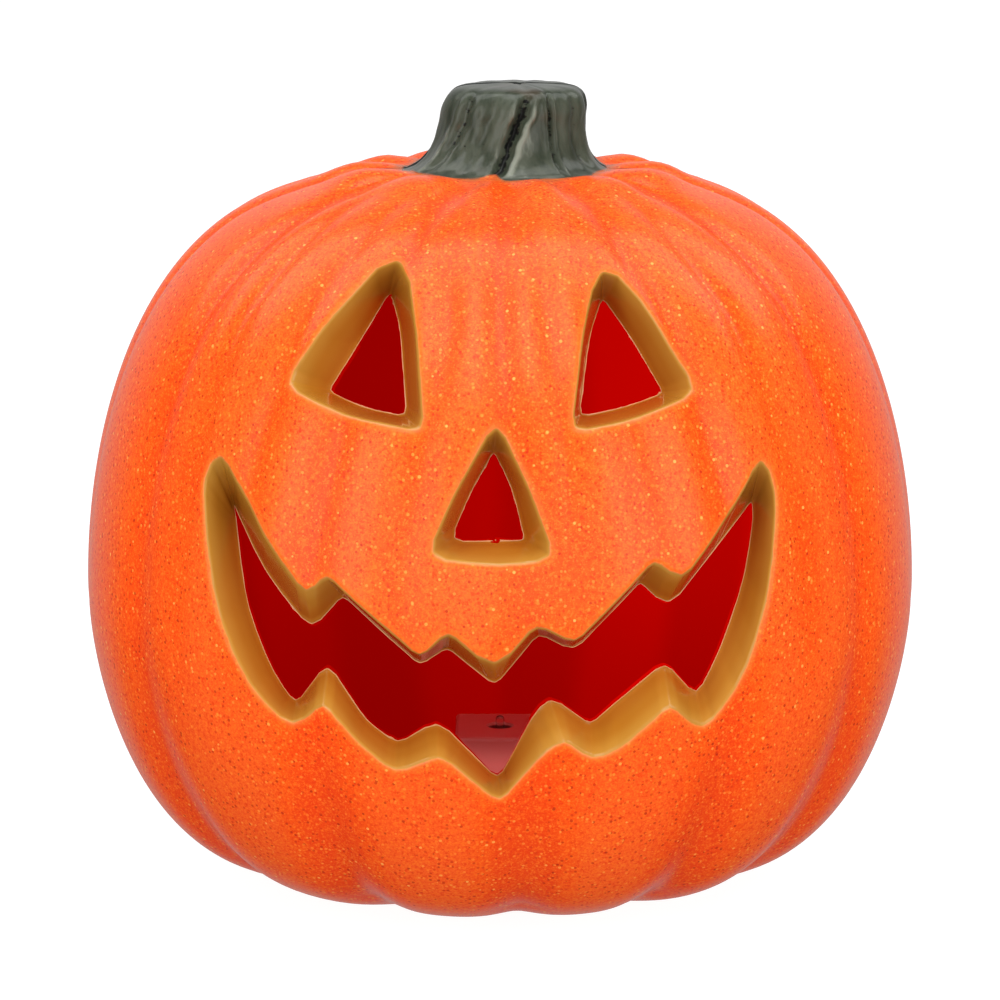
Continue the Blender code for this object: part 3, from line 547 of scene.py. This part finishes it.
def is_clear(places, openings, distance):
    """Whether each place is outside every lip and farther from it than a distance."""
    flat = flattened(places)
    clear = np.ones(len(flat), bool)
    for opening in openings:
        line = flattened(opening.line)
        clear &= ~is_inside(flat, line) & (segment_distance(flat, line) > distance)
    return clear


def add_rows(skin, openings, arcs):
    """The points of the body's grid, row by row, and their indices."""
    azimuths = column_azimuths()
    signed = np.where(azimuths > math.pi, azimuths - math.tau, azimuths)
    for arc in arcs:
        row = np.full(COLUMNS, arc)
        near = rim_distance(np.column_stack((signed, row)), openings)
        stem = np.maximum(arc - ARC_TOTAL, -FAR) + foot_wave(azimuths)
        skin.add(surface(azimuths, row), rim=np.minimum(near, FAR), stem=stem,
                 relief=rib_relief(azimuths, row))
    return np.arange(len(arcs) * COLUMNS).reshape(len(arcs), COLUMNS)


def add_body(skin, openings):
    """The ribbed body: a grid of quads, and a triangulated window round the openings."""
    rows = int(ARC_TOTAL / ROW_STEP)
    arcs = np.linspace(0, ARC_TOTAL, rows + 1)
    grid = add_rows(skin, openings, arcs)
    first_row, last_row = np.searchsorted(profile_at(arcs)[1], (WINDOW_LOW, WINDOW_HIGH))
    outside = np.arange(WINDOW_COLUMNS, COLUMNS - WINDOW_COLUMNS + 1)
    for row in range(rows):
        if first_row <= row < last_row:
            skin.bridge(grid[row, outside], grid[row + 1, outside], closed=False)
        else:
            skin.bridge(grid[row], grid[row + 1])
    window = np.arange(-WINDOW_COLUMNS, WINDOW_COLUMNS + 1)
    window_rows = slice(first_row, last_row + 1)
    add_window(skin, openings, window * math.tau / COLUMNS, arcs[window_rows], grid[window_rows][:, window])
    return grid[0], grid[-1]


def add_window(skin, openings, azimuths, arcs, indices):
    """Triangles over the face, between the window's edge and the openings' lips."""
    u, v = np.meshgrid(azimuths, arcs)
    places = np.column_stack((u.ravel(), v.ravel()))
    border = np.ones(u.shape, bool)
    border[1:-1, 1:-1] = False
    kept = is_clear(places, openings, GRID_CLEARANCE) | border.ravel()
    patch = Patch()
    patch.add(flattened(places[kept]), indices.ravel()[kept], closed=False)
    for opening in openings:
        add_guard(skin, patch, opening, openings)
    for opening in openings:
        opening.first = skin.add(surface(*opening.line.T), rim=LIP, relief=rib_relief(*opening.line.T))
        patch.add(flattened(opening.line), opening.first + np.arange(len(opening.line)))
    triangulate(skin, patch, [flattened(o.line) for o in openings])


def add_guard(skin, patch, opening, openings):
    """A row of points that follows a lip on the body, for even triangles beside it."""
    places = grown_on_body(opening.line, GUARD_DISTANCE, opening.side)[::2]
    places = places[is_clear(places, openings, GUARD_CLEARANCE)]
    first = skin.add(surface(*places.T), rim=rim_distance(places, openings), relief=rib_relief(*places.T))
    patch.add(flattened(places), first + np.arange(len(places)), closed=False)


def add_recess(skin, opening):
    """The rows of an opening, inwards from its lip's outer line."""
    previous = np.arange(opening.first, opening.first + len(opening.line))
    relief = rib_relief(*opening.line.T)
    for points, mark, raw in zip(opening.rows, opening.marks, opening.raw):
        first = skin.add(points, rim=mark, raw=raw, relief=relief)
        current = np.arange(first, first + len(points))
        skin.bridge(previous, current)
        previous = current


def add_base(skin, ring):
    """The standing ring and the floor, with the light unit's opening and the screw holes."""
    azimuths = column_azimuths()
    for radius, height in BASE_PROFILE:
        first = skin.add(around(np.full(COLUMNS, radius), azimuths, np.full(COLUMNS, height)))
        current = np.arange(first, first + COLUMNS)
        skin.bridge(current, ring)
        ring = current
    patch = Patch()
    patch.add(np.vstack(skin.points)[ring][:, :2], ring)
    holes = []
    for centre, radius, count in base_holes():
        turn = np.arange(count) * math.tau / count
        circle = np.array(centre) + radius * np.column_stack((np.cos(turn), np.sin(turn)))
        floor_z = np.full(count, EQUATOR_Z + BASE_PROFILE[-1][1])
        first = skin.add(np.column_stack((circle, floor_z)))
        patch.add(circle, first + np.arange(count))
        holes.append(circle)
    triangulate(skin, patch, holes)


def base_holes():
    """Middle, radius and number of points of the floor's holes."""
    holes = [((0.0, 0.0), BASE_HOLE_RADIUS, HOLE_POINTS)]
    for angle in np.radians(SCREW_ANGLES):
        centre = (SCREW_CIRCLE * math.cos(angle), SCREW_CIRCLE * math.sin(angle))
        holes.append((centre, SCREW_HOLE_RADIUS, SCREW_HOLE_POINTS))
    return holes


def smooth_curve(knots, steps=24):
    """Points of a Catmull-Rom curve through the knots."""
    knots = np.array(knots, float)
    padded = np.vstack((2 * knots[0] - knots[1], knots, 2 * knots[-1] - knots[-2]))
    t = np.linspace(0, 1, steps, endpoint=False)[:, None]
    rows = []
    for a, b, c, d in zip(padded, padded[1:], padded[2:], padded[3:]):
        square, cube = 2 * a - 5 * b + 4 * c - d, 3 * b - a - 3 * c + d
        rows.append(0.5 * (2 * b + (c - a) * t + square * t ** 2 + cube * t ** 3))
    return np.vstack(rows + [knots[-1:]])


def foot_wave(azimuth):
    """How far the stem's paint reaches past its foot, by azimuth."""
    front = (azimuth + math.pi) % math.tau - math.pi
    wave = 0.7 * np.sin(3 * front + 0.4) + 0.5 * np.sin(8 * front + 1.3)
    climb = np.exp(-((front + math.radians(9)) / math.radians(6)) ** 2)
    reach = np.exp(-((front + math.radians(28)) / math.radians(13)) ** 2)
    return wave - 2.6 * climb + 1.4 * reach


def stem_relief(azimuth, along, radius):
    """Depth of the stem's twisted grooves, less the swell of the ridges beside them."""
    share = np.clip(along / STEM_SIDE_LENGTH, 0, 1)
    fade = np.clip((1.04 - share) / 0.14, 0, 1) * np.clip(0.35 + share * 5, 0, 1)
    depth = np.zeros_like(azimuth)
    for top, foot, deep, half_width in STEM_GROOVES:
        ragged = 0.25 * np.sin(9 * share + foot) + 0.15 * np.sin(31 * share + 2 * foot)
        middle = math.radians(foot) + math.radians(top - foot) * share ** 0.85
        off = ((azimuth - middle + math.pi) % math.tau - math.pi) * radius / half_width + ragged
        ridge = 0.28 * deep * np.exp(-((np.abs(off) - 2.1) / 0.8) ** 2)
        depth += deep * np.exp(-np.abs(off) ** 2.2) - ridge
    swell = 0.35 * np.sin(5 * azimuth + 2.5 * share) + 0.25 * np.sin(11 * azimuth - 4 * share + 1)
    return depth * fade - swell * np.clip(1.3 - share, 0, 1)


def add_stem(skin, foot):
    """The stem from its foot to the middle of its top."""
    dense = smooth_curve(STEM_PROFILE)
    lengths = arc_lengths(dense)
    rows = int(lengths[-1] / STEM_ROW_STEP)
    azimuths = column_azimuths()
    previous = foot
    for along in np.linspace(0, lengths[-1], rows + 1)[1:]:
        radius = np.full(COLUMNS, np.interp(along, lengths, dense[:, 0]))
        height = np.full(COLUMNS, np.interp(along, lengths, dense[:, 1]))
        depth = stem_relief(azimuths, along, radius)
        flat = np.clip((along - STEM_SIDE_LENGTH + 6) / 8, 0, 1)
        points = around(radius - depth * (1 - flat), azimuths, height - 0.3 * depth * flat)
        first = skin.add(points, stem=along + foot_wave(azimuths), relief=depth * (1 - flat))
        current = np.arange(first, first + COLUMNS)
        skin.bridge(previous, current)
        previous = current
    skin.faces.append(previous.tolist())


def make_shell():
    """The pumpkin's shell, one closed sheet of plastic."""
    openings = [Opening(rim, cut, seed) for seed, (rim, cut) in enumerate(OPENINGS, 11)]
    skin = Skin()
    ring, foot = add_body(skin, openings)
    for opening in openings:
        add_recess(skin, opening)
    add_base(skin, ring)
    add_stem(skin, foot)
    shell = skin.make("shell")
    turn_outwards(shell.data)
    inside = interior_look()
    for look in (paint_look(), inside, inside):
        shell.data.materials.append(look)
    thicken(shell)
    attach(shell, "pumpkin")
    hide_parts("pumpkin_shell")


def thicken(shell):
    """Gives the sheet its wall, with the second material inside and the third along its edges."""
    solidify = shell.modifiers.new("wall", "SOLIDIFY")
    solidify.thickness = WALL * MM
    solidify.offset = -1
    solidify.use_even_offset = False
    solidify.material_offset = 1
    solidify.material_offset_rim = 2
    graph = bpy.context.evaluated_depsgraph_get()
    settled = bpy.data.meshes.new_from_object(shell.evaluated_get(graph))
    shell.modifiers.clear()
    shell.data = settled
    settled.name = "shell"
    settled.shade_smooth()
    settled.set_sharp_from_angle(angle=math.radians(55))


def turn_outwards(mesh):
    """Turns an open sheet's faces the same way, its top upwards."""
    shape = bmesh.new()
    shape.from_mesh(mesh)
    bmesh.ops.recalc_face_normals(shape, faces=shape.faces)
    shape.faces.ensure_lookup_table()
    highest = max(shape.faces, key=lambda face: face.calc_center_median().z)
    if highest.normal.z < 0:
        bmesh.ops.reverse_faces(shape, faces=shape.faces)
    shape.to_mesh(mesh)
    shape.free()


# --- Materials

def fill(tree, socket, value):
    """Sets a socket to a number or colour, or links an output to it."""
    if isinstance(value, bpy.types.NodeSocket):
        tree.links.new(value, socket)
    else:
        socket.default_value = value


def map_range(tree, value, low, high, start, end, kind="LINEAR"):
    """A value taken from the range low to high to the range start to end."""
    node = tree.nodes.new("ShaderNodeMapRange")
    node.interpolation_type = kind
    numbers = {"Value": value, "From Min": low, "From Max": high, "To Min": start, "To Max": end}
    for key, number in numbers.items():
        fill(tree, node.inputs[key], number)
    return node.outputs["Result"]


class Look:
    """A material with short calls for its nodes."""

    def __init__(self, name, colour=(0.8, 0.8, 0.8), roughness=0.5, **values):
        self.material = bpy.data.materials.new(name)
        self.material.use_nodes = True
        self.tree = self.material.node_tree
        self.shader = self.tree.nodes["Principled BSDF"]
        self.put("Base Color", (*colour, 1.0))
        self.put("Roughness", roughness)
        for key, value in values.items():
            self.put(key.replace("_", " ").title().replace("Ior", "IOR"), value)
        self.place = self.add("TexCoord").outputs["Object"]

    def put(self, key, value):
        """Sets a socket of the shader, or links an output to it."""
        self.fill(self.shader.inputs[key], value)

    def fill(self, socket, value):
        fill(self.tree, socket, value)

    def add(self, kind, settings=(), **inputs):
        node = self.tree.nodes.new("ShaderNode" + kind)
        for key, value in dict(settings).items():
            setattr(node, key, value)
        for key, value in inputs.items():
            self.fill(node.inputs[key.replace("_", " ")], value)
        return node

    def math(self, operation, a, b=0.0):
        node = self.add("Math", {"operation": operation})
        self.fill(node.inputs[0], a)
        self.fill(node.inputs[1], b)
        return node.outputs[0]

    def times(self, a, b):
        return self.math("MULTIPLY", a, b)

    def stir(self, value, noise, amount):
        """A value pushed up and down by a noise."""
        return self.math("ADD", value, self.times(self.math("SUBTRACT", noise, 0.5), amount))

    def blend(self, share, a, b):
        """A number between a and b."""
        return self.add("Mix", A=a, B=b, Factor=share).outputs[0]

    def mix(self, share, a, b):
        """A colour between a and b."""
        node = self.add("Mix", {"data_type": "RGBA"})
        self.fill(node.inputs["Factor"], share)
        for socket, value in ((node.inputs[6], a), (node.inputs[7], b)):
            self.fill(socket, (*value, 1.0) if isinstance(value, tuple) else value)
        return node.outputs[2]

    def between(self, value, low, high, start=0.0, end=1.0):
        """Smooth step of a value from low to high."""
        return map_range(self.tree, value, low, high, start, end, "SMOOTHSTEP")

    def noise(self, scale, detail=2.0, rough=0.5, stretch=None):
        """Noise with a value of about 0.5, its scale in waves per metre."""
        place = self.place
        if stretch:
            place = self.add("Mapping", Vector=place)
            place.inputs["Scale"].default_value = stretch
            place = place.outputs[0]
        node = self.add("TexNoise", Vector=place, Scale=scale, Detail=detail, Roughness=rough)
        return node.outputs["Fac"]

    def cells(self, scale, shift=0.0):
        """Distance from, and random colour of, the nearest of scattered points."""
        place = self.add("Mapping", Vector=self.place)
        place.inputs["Location"].default_value = (shift, shift, shift)
        node = self.add("TexVoronoi", Vector=place.outputs[0], Scale=scale)
        return node.outputs["Distance"], self.add("SeparateColor", Color=node.outputs["Color"]).outputs

    def mark(self, name):
        return self.add("Attribute", {"attribute_name": name}).outputs["Fac"]

    def bump(self, height, distance, strength=1.0, base=None):
        node = self.add("Bump", Height=height, Distance=distance, Strength=strength)
        if base:
            self.fill(node.inputs["Normal"], base)
        return node.outputs[0]


def sprinkle(look, colour, flecks):
    """Scatters flecks over a colour, and also returns the mask of them."""
    scale, size, share, shift, cover, low, high = flecks
    distance, random = look.cells(scale, shift)
    near = look.between(distance, size, size * 0.7)
    mask = look.times(near, look.math("LESS_THAN", random["Red"], share))
    tint = look.mix(random["Green"], low, high)
    return look.mix(look.times(mask, cover), colour, tint), mask


def orange_paint_and_rib_light(look, broad, relief):
    """Orange spray paint and its gold glitter, lighter on the ribs and darker in their grooves: partly
    thinner and thicker paint, partly painted highlight and painted shade.
    """
    colour = look.mix(look.between(broad, 0.35, 0.7), (0.95, 0.074, 0.001), (0.95, 0.090, 0.002))
    # Lighter on the ribs' crowns: partly thinner paint, partly painted highlight
    colour = look.mix(look.between(relief, 1.0, 0.1, 0, 0.34), colour, (0.97, 0.150, 0.022))
    # Darker in the deep grooves: partly thicker paint, partly painted shade
    colour = look.mix(look.between(relief, 1.0, 2.2, 0, 0.65), colour, (0.87, 0.046, 0.001))
    mottle, grain = look.noise(620, 3, 0.8), look.noise(1300, 2, 0.7)
    colour = look.mix(look.between(mottle, 0.47, 0.37, 0, 0.8), colour, (0.85, 0.040, 0.001))
    colour = look.mix(look.between(mottle, 0.52, 0.63, 0, 0.7), colour, (0.98, 0.145, 0.006))
    colour = look.mix(look.between(grain, 0.47, 0.36, 0, 0.5), colour, (0.86, 0.048, 0.001))
    colour = look.mix(look.between(grain, 0.54, 0.66, 0, 0.6), colour, (0.98, 0.19, 0.012))
    colour, _ = sprinkle(look, colour, DARK_FLECKS)
    colour, gold = sprinkle(look, colour, GOLD_FLECKS)
    colour, _ = sprinkle(look, colour, LARGE_FLECKS)
    return colour, gold


def tan_paint_with_painted_light(look, broad, rim):
    """Tan paint of the recesses, with a painted highlight that makes it pale on the lip and painted shade
    that makes it orange-brown and darker towards the cut edge.
    """
    # Painted shade: darker deeper in the recess
    colour = look.mix(look.between(rim, -1.5, -9), (0.47, 0.215, 0.028), (0.41, 0.155, 0.013))
    # Painted highlight on the lip
    colour = look.mix(look.between(rim, -0.8, 1.2, 0, 0.8), colour, (0.54, 0.28, 0.10))
    # Painted shade: darkest near the cut edge
    colour = look.mix(look.between(rim, -9, -16, 0, 0.6), colour, (0.38, 0.100, 0.005))
    return look.mix(look.between(broad, 0.3, 0.7, 0, 0.25), colour, (0.56, 0.25, 0.045))


def body_paint(look, rim, relief):
    """The paint of everything but the stem, with painted highlights and shade, and the mask of its gold
    glitter.
    """
    broad = look.noise(28, 2)
    orange, gold = orange_paint_and_rib_light(look, broad, relief)
    ragged = look.stir(rim, look.noise(260, 3), 1.0)
    # A lighter ring just outside each rim: a painted highlight of the lip
    orange = look.mix(look.between(ragged, 3.2, 1.0, 0, 0.35), orange, (0.98, 0.19, 0.02))
    colour = look.mix(look.between(ragged, 0.9, -0.5), orange, tan_paint_with_painted_light(look, broad, rim))
    return look.mix(look.mark("raw"), colour, (0.74, 0.36, 0.17)), gold


def stem_paint(look, relief, edge):
    """Green paint, lighter on the ridges as wear and painted highlight, with black in the grooves and near
    black in a band just behind Y = 0 that runs up the stem's sides and over its top.
    """
    streaks = look.noise(150, 4, 0.65, (1, 1, 0.22))
    colour = look.mix(look.between(streaks, 0.35, 0.65), (0.026, 0.034, 0.021), (0.062, 0.072, 0.050))
    rust = look.between(look.noise(45, 2), 0.56, 0.72, 0, 0.45)
    colour = look.mix(rust, colour, (0.085, 0.040, 0.022))
    wear_and_highlight = look.stir(relief, streaks, 3.0)
    dashes = look.stir(relief, look.noise(620, 2, 0.8, (0.3, 0.3, 1)), 7.0)
    # Lighter on the ridges: partly wear, partly painted highlight
    colour = look.mix(look.between(wear_and_highlight, -0.35, -1.3, 0, 0.75), colour, (0.22, 0.24, 0.19))
    colour = look.mix(look.between(dashes, 1.5, 2.1, 0, 0.94), colour, (0.005, 0.005, 0.005))
    # Near black in a band just behind Y = 0, up the stem's sides and over its top
    return look.mix(look.times(edge, 0.85), colour, (0.008, 0.009, 0.010))


def paint_look():
    """Orange paint with glitter, tan paint in the recesses and green paint on the stem, with painted
    highlights and shade on them.
    """
    look = Look("shell_paint_and_painted_light", roughness=0.42, specular_ior_level=0.34)
    rim, relief = look.mark("rim"), look.mark("relief")
    wander = look.stir(look.mark("stem"), look.noise(150, 3), 2.6)
    on_stem = look.between(wander, -0.7, 0.8)
    across = look.add("SeparateXYZ", Vector=look.place).outputs["Y"]
    off_edge = look.math("ABSOLUTE", look.math("SUBTRACT", across, 0.0012))
    edge = look.between(off_edge, 0.0022, 0.0012)

    colour, gold = body_paint(look, rim, relief)
    colour = look.mix(look.between(wander, -6.0, 0.4, 0, 0.6), colour, (0.25, 0.11, 0.03))
    seam = look.between(look.math("ABSOLUTE", across), 0.0005, 0.0002)
    seam = look.times(seam, look.between(wander, -40, -2, 0.08, 0.7))
    colour = look.mix(seam, colour, (0.25, 0.035, 0.005))
    look.put("Base Color", look.mix(on_stem, colour, stem_paint(look, relief, edge)))

    fine = look.bump(look.noise(900, 3, 0.7), 0.00012, 0.5)
    look.put("Normal", look.bump(gold, 0.00003, 0.5, fine))
    gloss = look.blend(on_stem, look.between(rim, 0.5, -1.0, 0.25, 0.23), 0.29)
    look.put("Roughness", look.blend(look.times(on_stem, edge), gloss, 0.95))
    stem_glaze = look.times(on_stem, look.between(edge, 0.5, 0.0, 0, 0.3))
    look.put("Coat Weight", look.math("MAXIMUM", look.between(rim, 0.6, -0.8), stem_glaze))
    look.put("Coat Roughness", 0.11)
    return look.material


def interior_look():
    """The shell's inside and edges: translucent plastic, deep red, with a painted glow that stands in for
    light through the shell.
    """
    look = Look("shell_inside_painted_glow", (0.20, 0.001, 0.0), 0.6, specular_ior_level=0.0)
    place = look.add("SeparateXYZ", Vector=look.place).outputs
    # Painted glow: brighter towards +X, darker towards the bottom, and darker in bands by the ribs
    side = look.between(place["X"], -0.07, 0.09)
    painted_glow = look.mix(side, (0.29, 0.0, 0.0), (0.53, 0.0005, 0.0))
    painted_glow = look.mix(look.between(place["Z"], 0.10, 0.02, 0, 0.45), painted_glow, (0.15, 0.0, 0.0))
    turn = look.math("MULTIPLY", look.math("ARCTAN2", place["X"], place["Y"]), RIB_COUNT)
    bands = look.between(look.math("SINE", turn), -0.6, 0.6, 0, 0.30)
    look.put("Emission Color", look.mix(bands, painted_glow, (0.13, 0.0, 0.0)))
    look.put("Emission Strength", 0.9)
    look.put("Normal", look.bump(look.noise(120, 3), 0.0004, 0.4))
    return look.material


def moulded_look(name, low, high, roughness, texture=0.00004, **values):
    """Moulded plastic: slow colour change, and a fine spark-eroded grain."""
    look = Look(name, roughness=roughness, **values)
    look.put("Base Color", look.mix(look.between(look.noise(60, 3), 0.3, 0.7), low, high))
    look.put("Roughness", look.between(look.noise(400, 3), 0.3, 0.7, roughness - 0.06, roughness + 0.08))
    look.put("Normal", look.bump(look.noise(2600, 2, 0.6), texture, 0.7))
    return look.material


def metal_look():
    """Nickel-plated steel with fine rolling marks."""
    look = Look("nickel_steel", roughness=0.3, metallic=1.0)
    look.put("Base Color", look.mix(look.noise(300, 3), (0.52, 0.50, 0.46), (0.70, 0.68, 0.63)))
    marks = look.noise(1200, 3, 0.6, (1, 1, 0.06))
    look.put("Roughness", look.between(marks, 0.3, 0.7, 0.22, 0.42))
    look.put("Normal", look.bump(marks, 0.00002, 0.5))
    return look.material


def cap_look():
    """Milky moulded plastic with painted red light from inside the shell, lighter and glowing on its lower
    sides as painted light, and a dark dish round the lamp.
    """
    look = Look("milky_plastic", roughness=0.24)
    place = look.add("SeparateXYZ", Vector=look.place).outputs
    squares = [look.times(place[axis], place[axis]) for axis in "XY"]
    across = look.math("SQRT", look.math("ADD", *squares))
    dish = look.math("MULTIPLY", look.between(across, DISH_RADIUS * 1.12, DISH_RADIUS),
                     look.math("GREATER_THAN", place["Z"], DISH_LOW))
    # Painted red light from inside the shell over the milky colour
    milk_with_painted_light = look.mix(look.noise(35, 2), (0.58, 0.215, 0.19), (0.64, 0.26, 0.235))
    low = look.between(place["Z"], 0.036, 0.047, 0.0, 1.0)
    # Painted light: lighter on the lower sides
    milk_with_painted_light = look.mix(low, (0.86, 0.42, 0.38), milk_with_painted_light)
    look.put("Base Color", look.mix(dish, milk_with_painted_light, (0.05, 0.006, 0.004)))
    look.put("Roughness", look.between(look.noise(60, 2), 0.3, 0.7, 0.30, 0.34))
    # Painted glow on the lower sides
    look.put("Emission Color", look.mix(low, (0.16, 0.046, 0.040), (0.0, 0.0, 0.0)))
    look.put("Emission Strength", 1.0)
    return look.material


def board_look():
    """Green solder mask over the weave of the board."""
    look = Look("solder_mask", roughness=0.35)
    look.put("Base Color", look.mix(look.noise(500, 3), (0.010, 0.085, 0.035), (0.022, 0.15, 0.06)))
    weave = look.add("TexWave", Vector=look.place, Scale=900).outputs["Fac"]
    look.put("Normal", look.bump(weave, 0.00002, 0.4))
    return look.material


def cell_look():
    """Unprinted shrink sleeve with a copper-coloured band near each end."""
    look = Look("cell_sleeve", roughness=0.28)
    place = look.add("SeparateXYZ", Vector=look.place).outputs
    band = look.between(look.math("ABSOLUTE", place["Y"]), 0.0165, 0.0170)
    sleeve = look.mix(look.noise(80, 2), (0.012, 0.014, 0.02), (0.03, 0.032, 0.04))
    look.put("Base Color", look.mix(band, sleeve, (0.42, 0.24, 0.07)))
    look.put("Normal", look.bump(look.noise(700, 2), 0.00003, 0.4))
    return look.material


def lamp_look():
    """Clear moulded resin."""
    look = Look("clear_resin", (0.95, 0.93, 0.90), 0.06, transmission_weight=1.0, ior=1.5)
    look.put("Roughness", look.between(look.noise(900, 2), 0.3, 0.7, 0.03, 0.10))
    return look.material


def finish_nodes():
    """Gives each CAD node its detailed material."""
    white = moulded_look("white_plastic", (0.74, 0.72, 0.68), (0.80, 0.79, 0.75), 0.42)
    black = moulded_look("black_plastic", (0.012, 0.012, 0.013), (0.03, 0.03, 0.032), 0.42)
    red = moulded_look("red_insulation", (0.42, 0.008, 0.006), (0.55, 0.02, 0.012), 0.4, 0.00002)
    dark = moulded_look("black_insulation", (0.01, 0.01, 0.011), (0.022, 0.022, 0.024), 0.4, 0.00002)
    steel, board, sleeve, clear = metal_look(), board_look(), cell_look(), lamp_look()
    looks = {"battery_housing": white, "battery_door": white, "light_cap": cap_look(),
             "circuit_board": board, "resistor": black, "lamp": clear, "switch_case": black,
             "switch_knob": black, "battery_cell_left": sleeve, "battery_cell_right": sleeve,
             "wire_battery_red": red, "wire_battery_black": dark, "wire_switch_in": dark,
             "wire_switch_out": red}
    for name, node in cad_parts.items():
        if name == "pumpkin_shell":
            continue
        node.data.materials.clear()
        node.data.materials.append(looks.get(name, steel))


# --- Camera, floor and light

def make_floor():
    """A white floor that neither lights the object nor shows in its gloss."""
    mesh = bpy.data.meshes.new("floor")
    reach = FLOOR_REACH
    corners = [(-reach, -reach, 0), (reach, -reach, 0), (reach, reach, 0), (-reach, reach, 0)]
    mesh.from_pydata(corners, [], [(0, 1, 2, 3)])
    floor = bpy.data.objects.new("floor", mesh)
    bpy.context.scene.collection.objects.link(floor)
    look = Look("floor_paper", (0.2, 0.2, 0.2), 0.9)
    look.put("Emission Color", (1.0, 1.0, 1.0, 1.0))
    look.put("Emission Strength", 0.95)
    mesh.materials.append(look.material)
    floor.visible_diffuse = False
    floor.visible_glossy = False


def make_light(name, place, size, power, in_gloss):
    """A softbox that either lights the object or only shows in its gloss."""
    lamp = bpy.data.lights.new(name, "AREA")
    lamp.shape = "RECTANGLE"
    lamp.size, lamp.size_y = size
    lamp.energy = power
    obj = bpy.data.objects.new(name, lamp)
    obj.location = place
    obj.rotation_euler = (Vector(LIT_POINT) - Vector(place)).to_track_quat("-Z", "Y").to_euler()
    obj.visible_diffuse = not in_gloss
    obj.visible_glossy = in_gloss
    bpy.context.scene.collection.objects.link(obj)


def make_world():
    """White surroundings, with AMBIENT light, that are dark in the gloss except far behind."""
    world = bpy.data.worlds.new("studio")
    bpy.context.scene.world = world
    world.use_nodes = True
    tree = world.node_tree
    path = tree.nodes.new("ShaderNodeLightPath").outputs
    split = tree.nodes.new("ShaderNodeSeparateXYZ")
    tree.links.new(tree.nodes.new("ShaderNodeTexCoord").outputs["Generated"], split.inputs[0])
    mirrored = map_range(tree, split.outputs["Y"], 0.55, 0.95, 0.04, 0.5)
    unseen = map_range(tree, path["Is Glossy Ray"], 0.0, 1.0, AMBIENT, mirrored)
    strength = map_range(tree, path["Is Camera Ray"], 0.0, 1.0, unseen, 1.0)
    background = tree.nodes["Background"]
    background.inputs["Color"].default_value = (1.0, 1.0, 1.0, 1.0)
    tree.links.new(strength, background.inputs["Strength"])


def make_studio():
    bpy.context.scene.view_settings.view_transform = "Standard"
    make_world()
    make_floor()
    for light in SOFTBOXES:
        make_light(*light, in_gloss=False)
    for light in STRIPS:
        make_light(*light, in_gloss=True)


def make_camera():
    scene = bpy.context.scene
    data = bpy.data.cameras.new("camera")
    data.lens = CAMERA_LENS
    camera = bpy.data.objects.new("camera", data)
    away = CAMERA_DISTANCE * math.cos(CAMERA_ELEVATION)
    camera.location = (0, -away, EQUATOR_Z * MM + CAMERA_DISTANCE * math.sin(CAMERA_ELEVATION))
    camera.rotation_euler = (math.pi / 2 - CAMERA_ELEVATION + CAMERA_TILT, 0, 0)
    scene.collection.objects.link(camera)
    scene.camera = camera


make_camera()
make_shell()
finish_nodes()
make_studio()
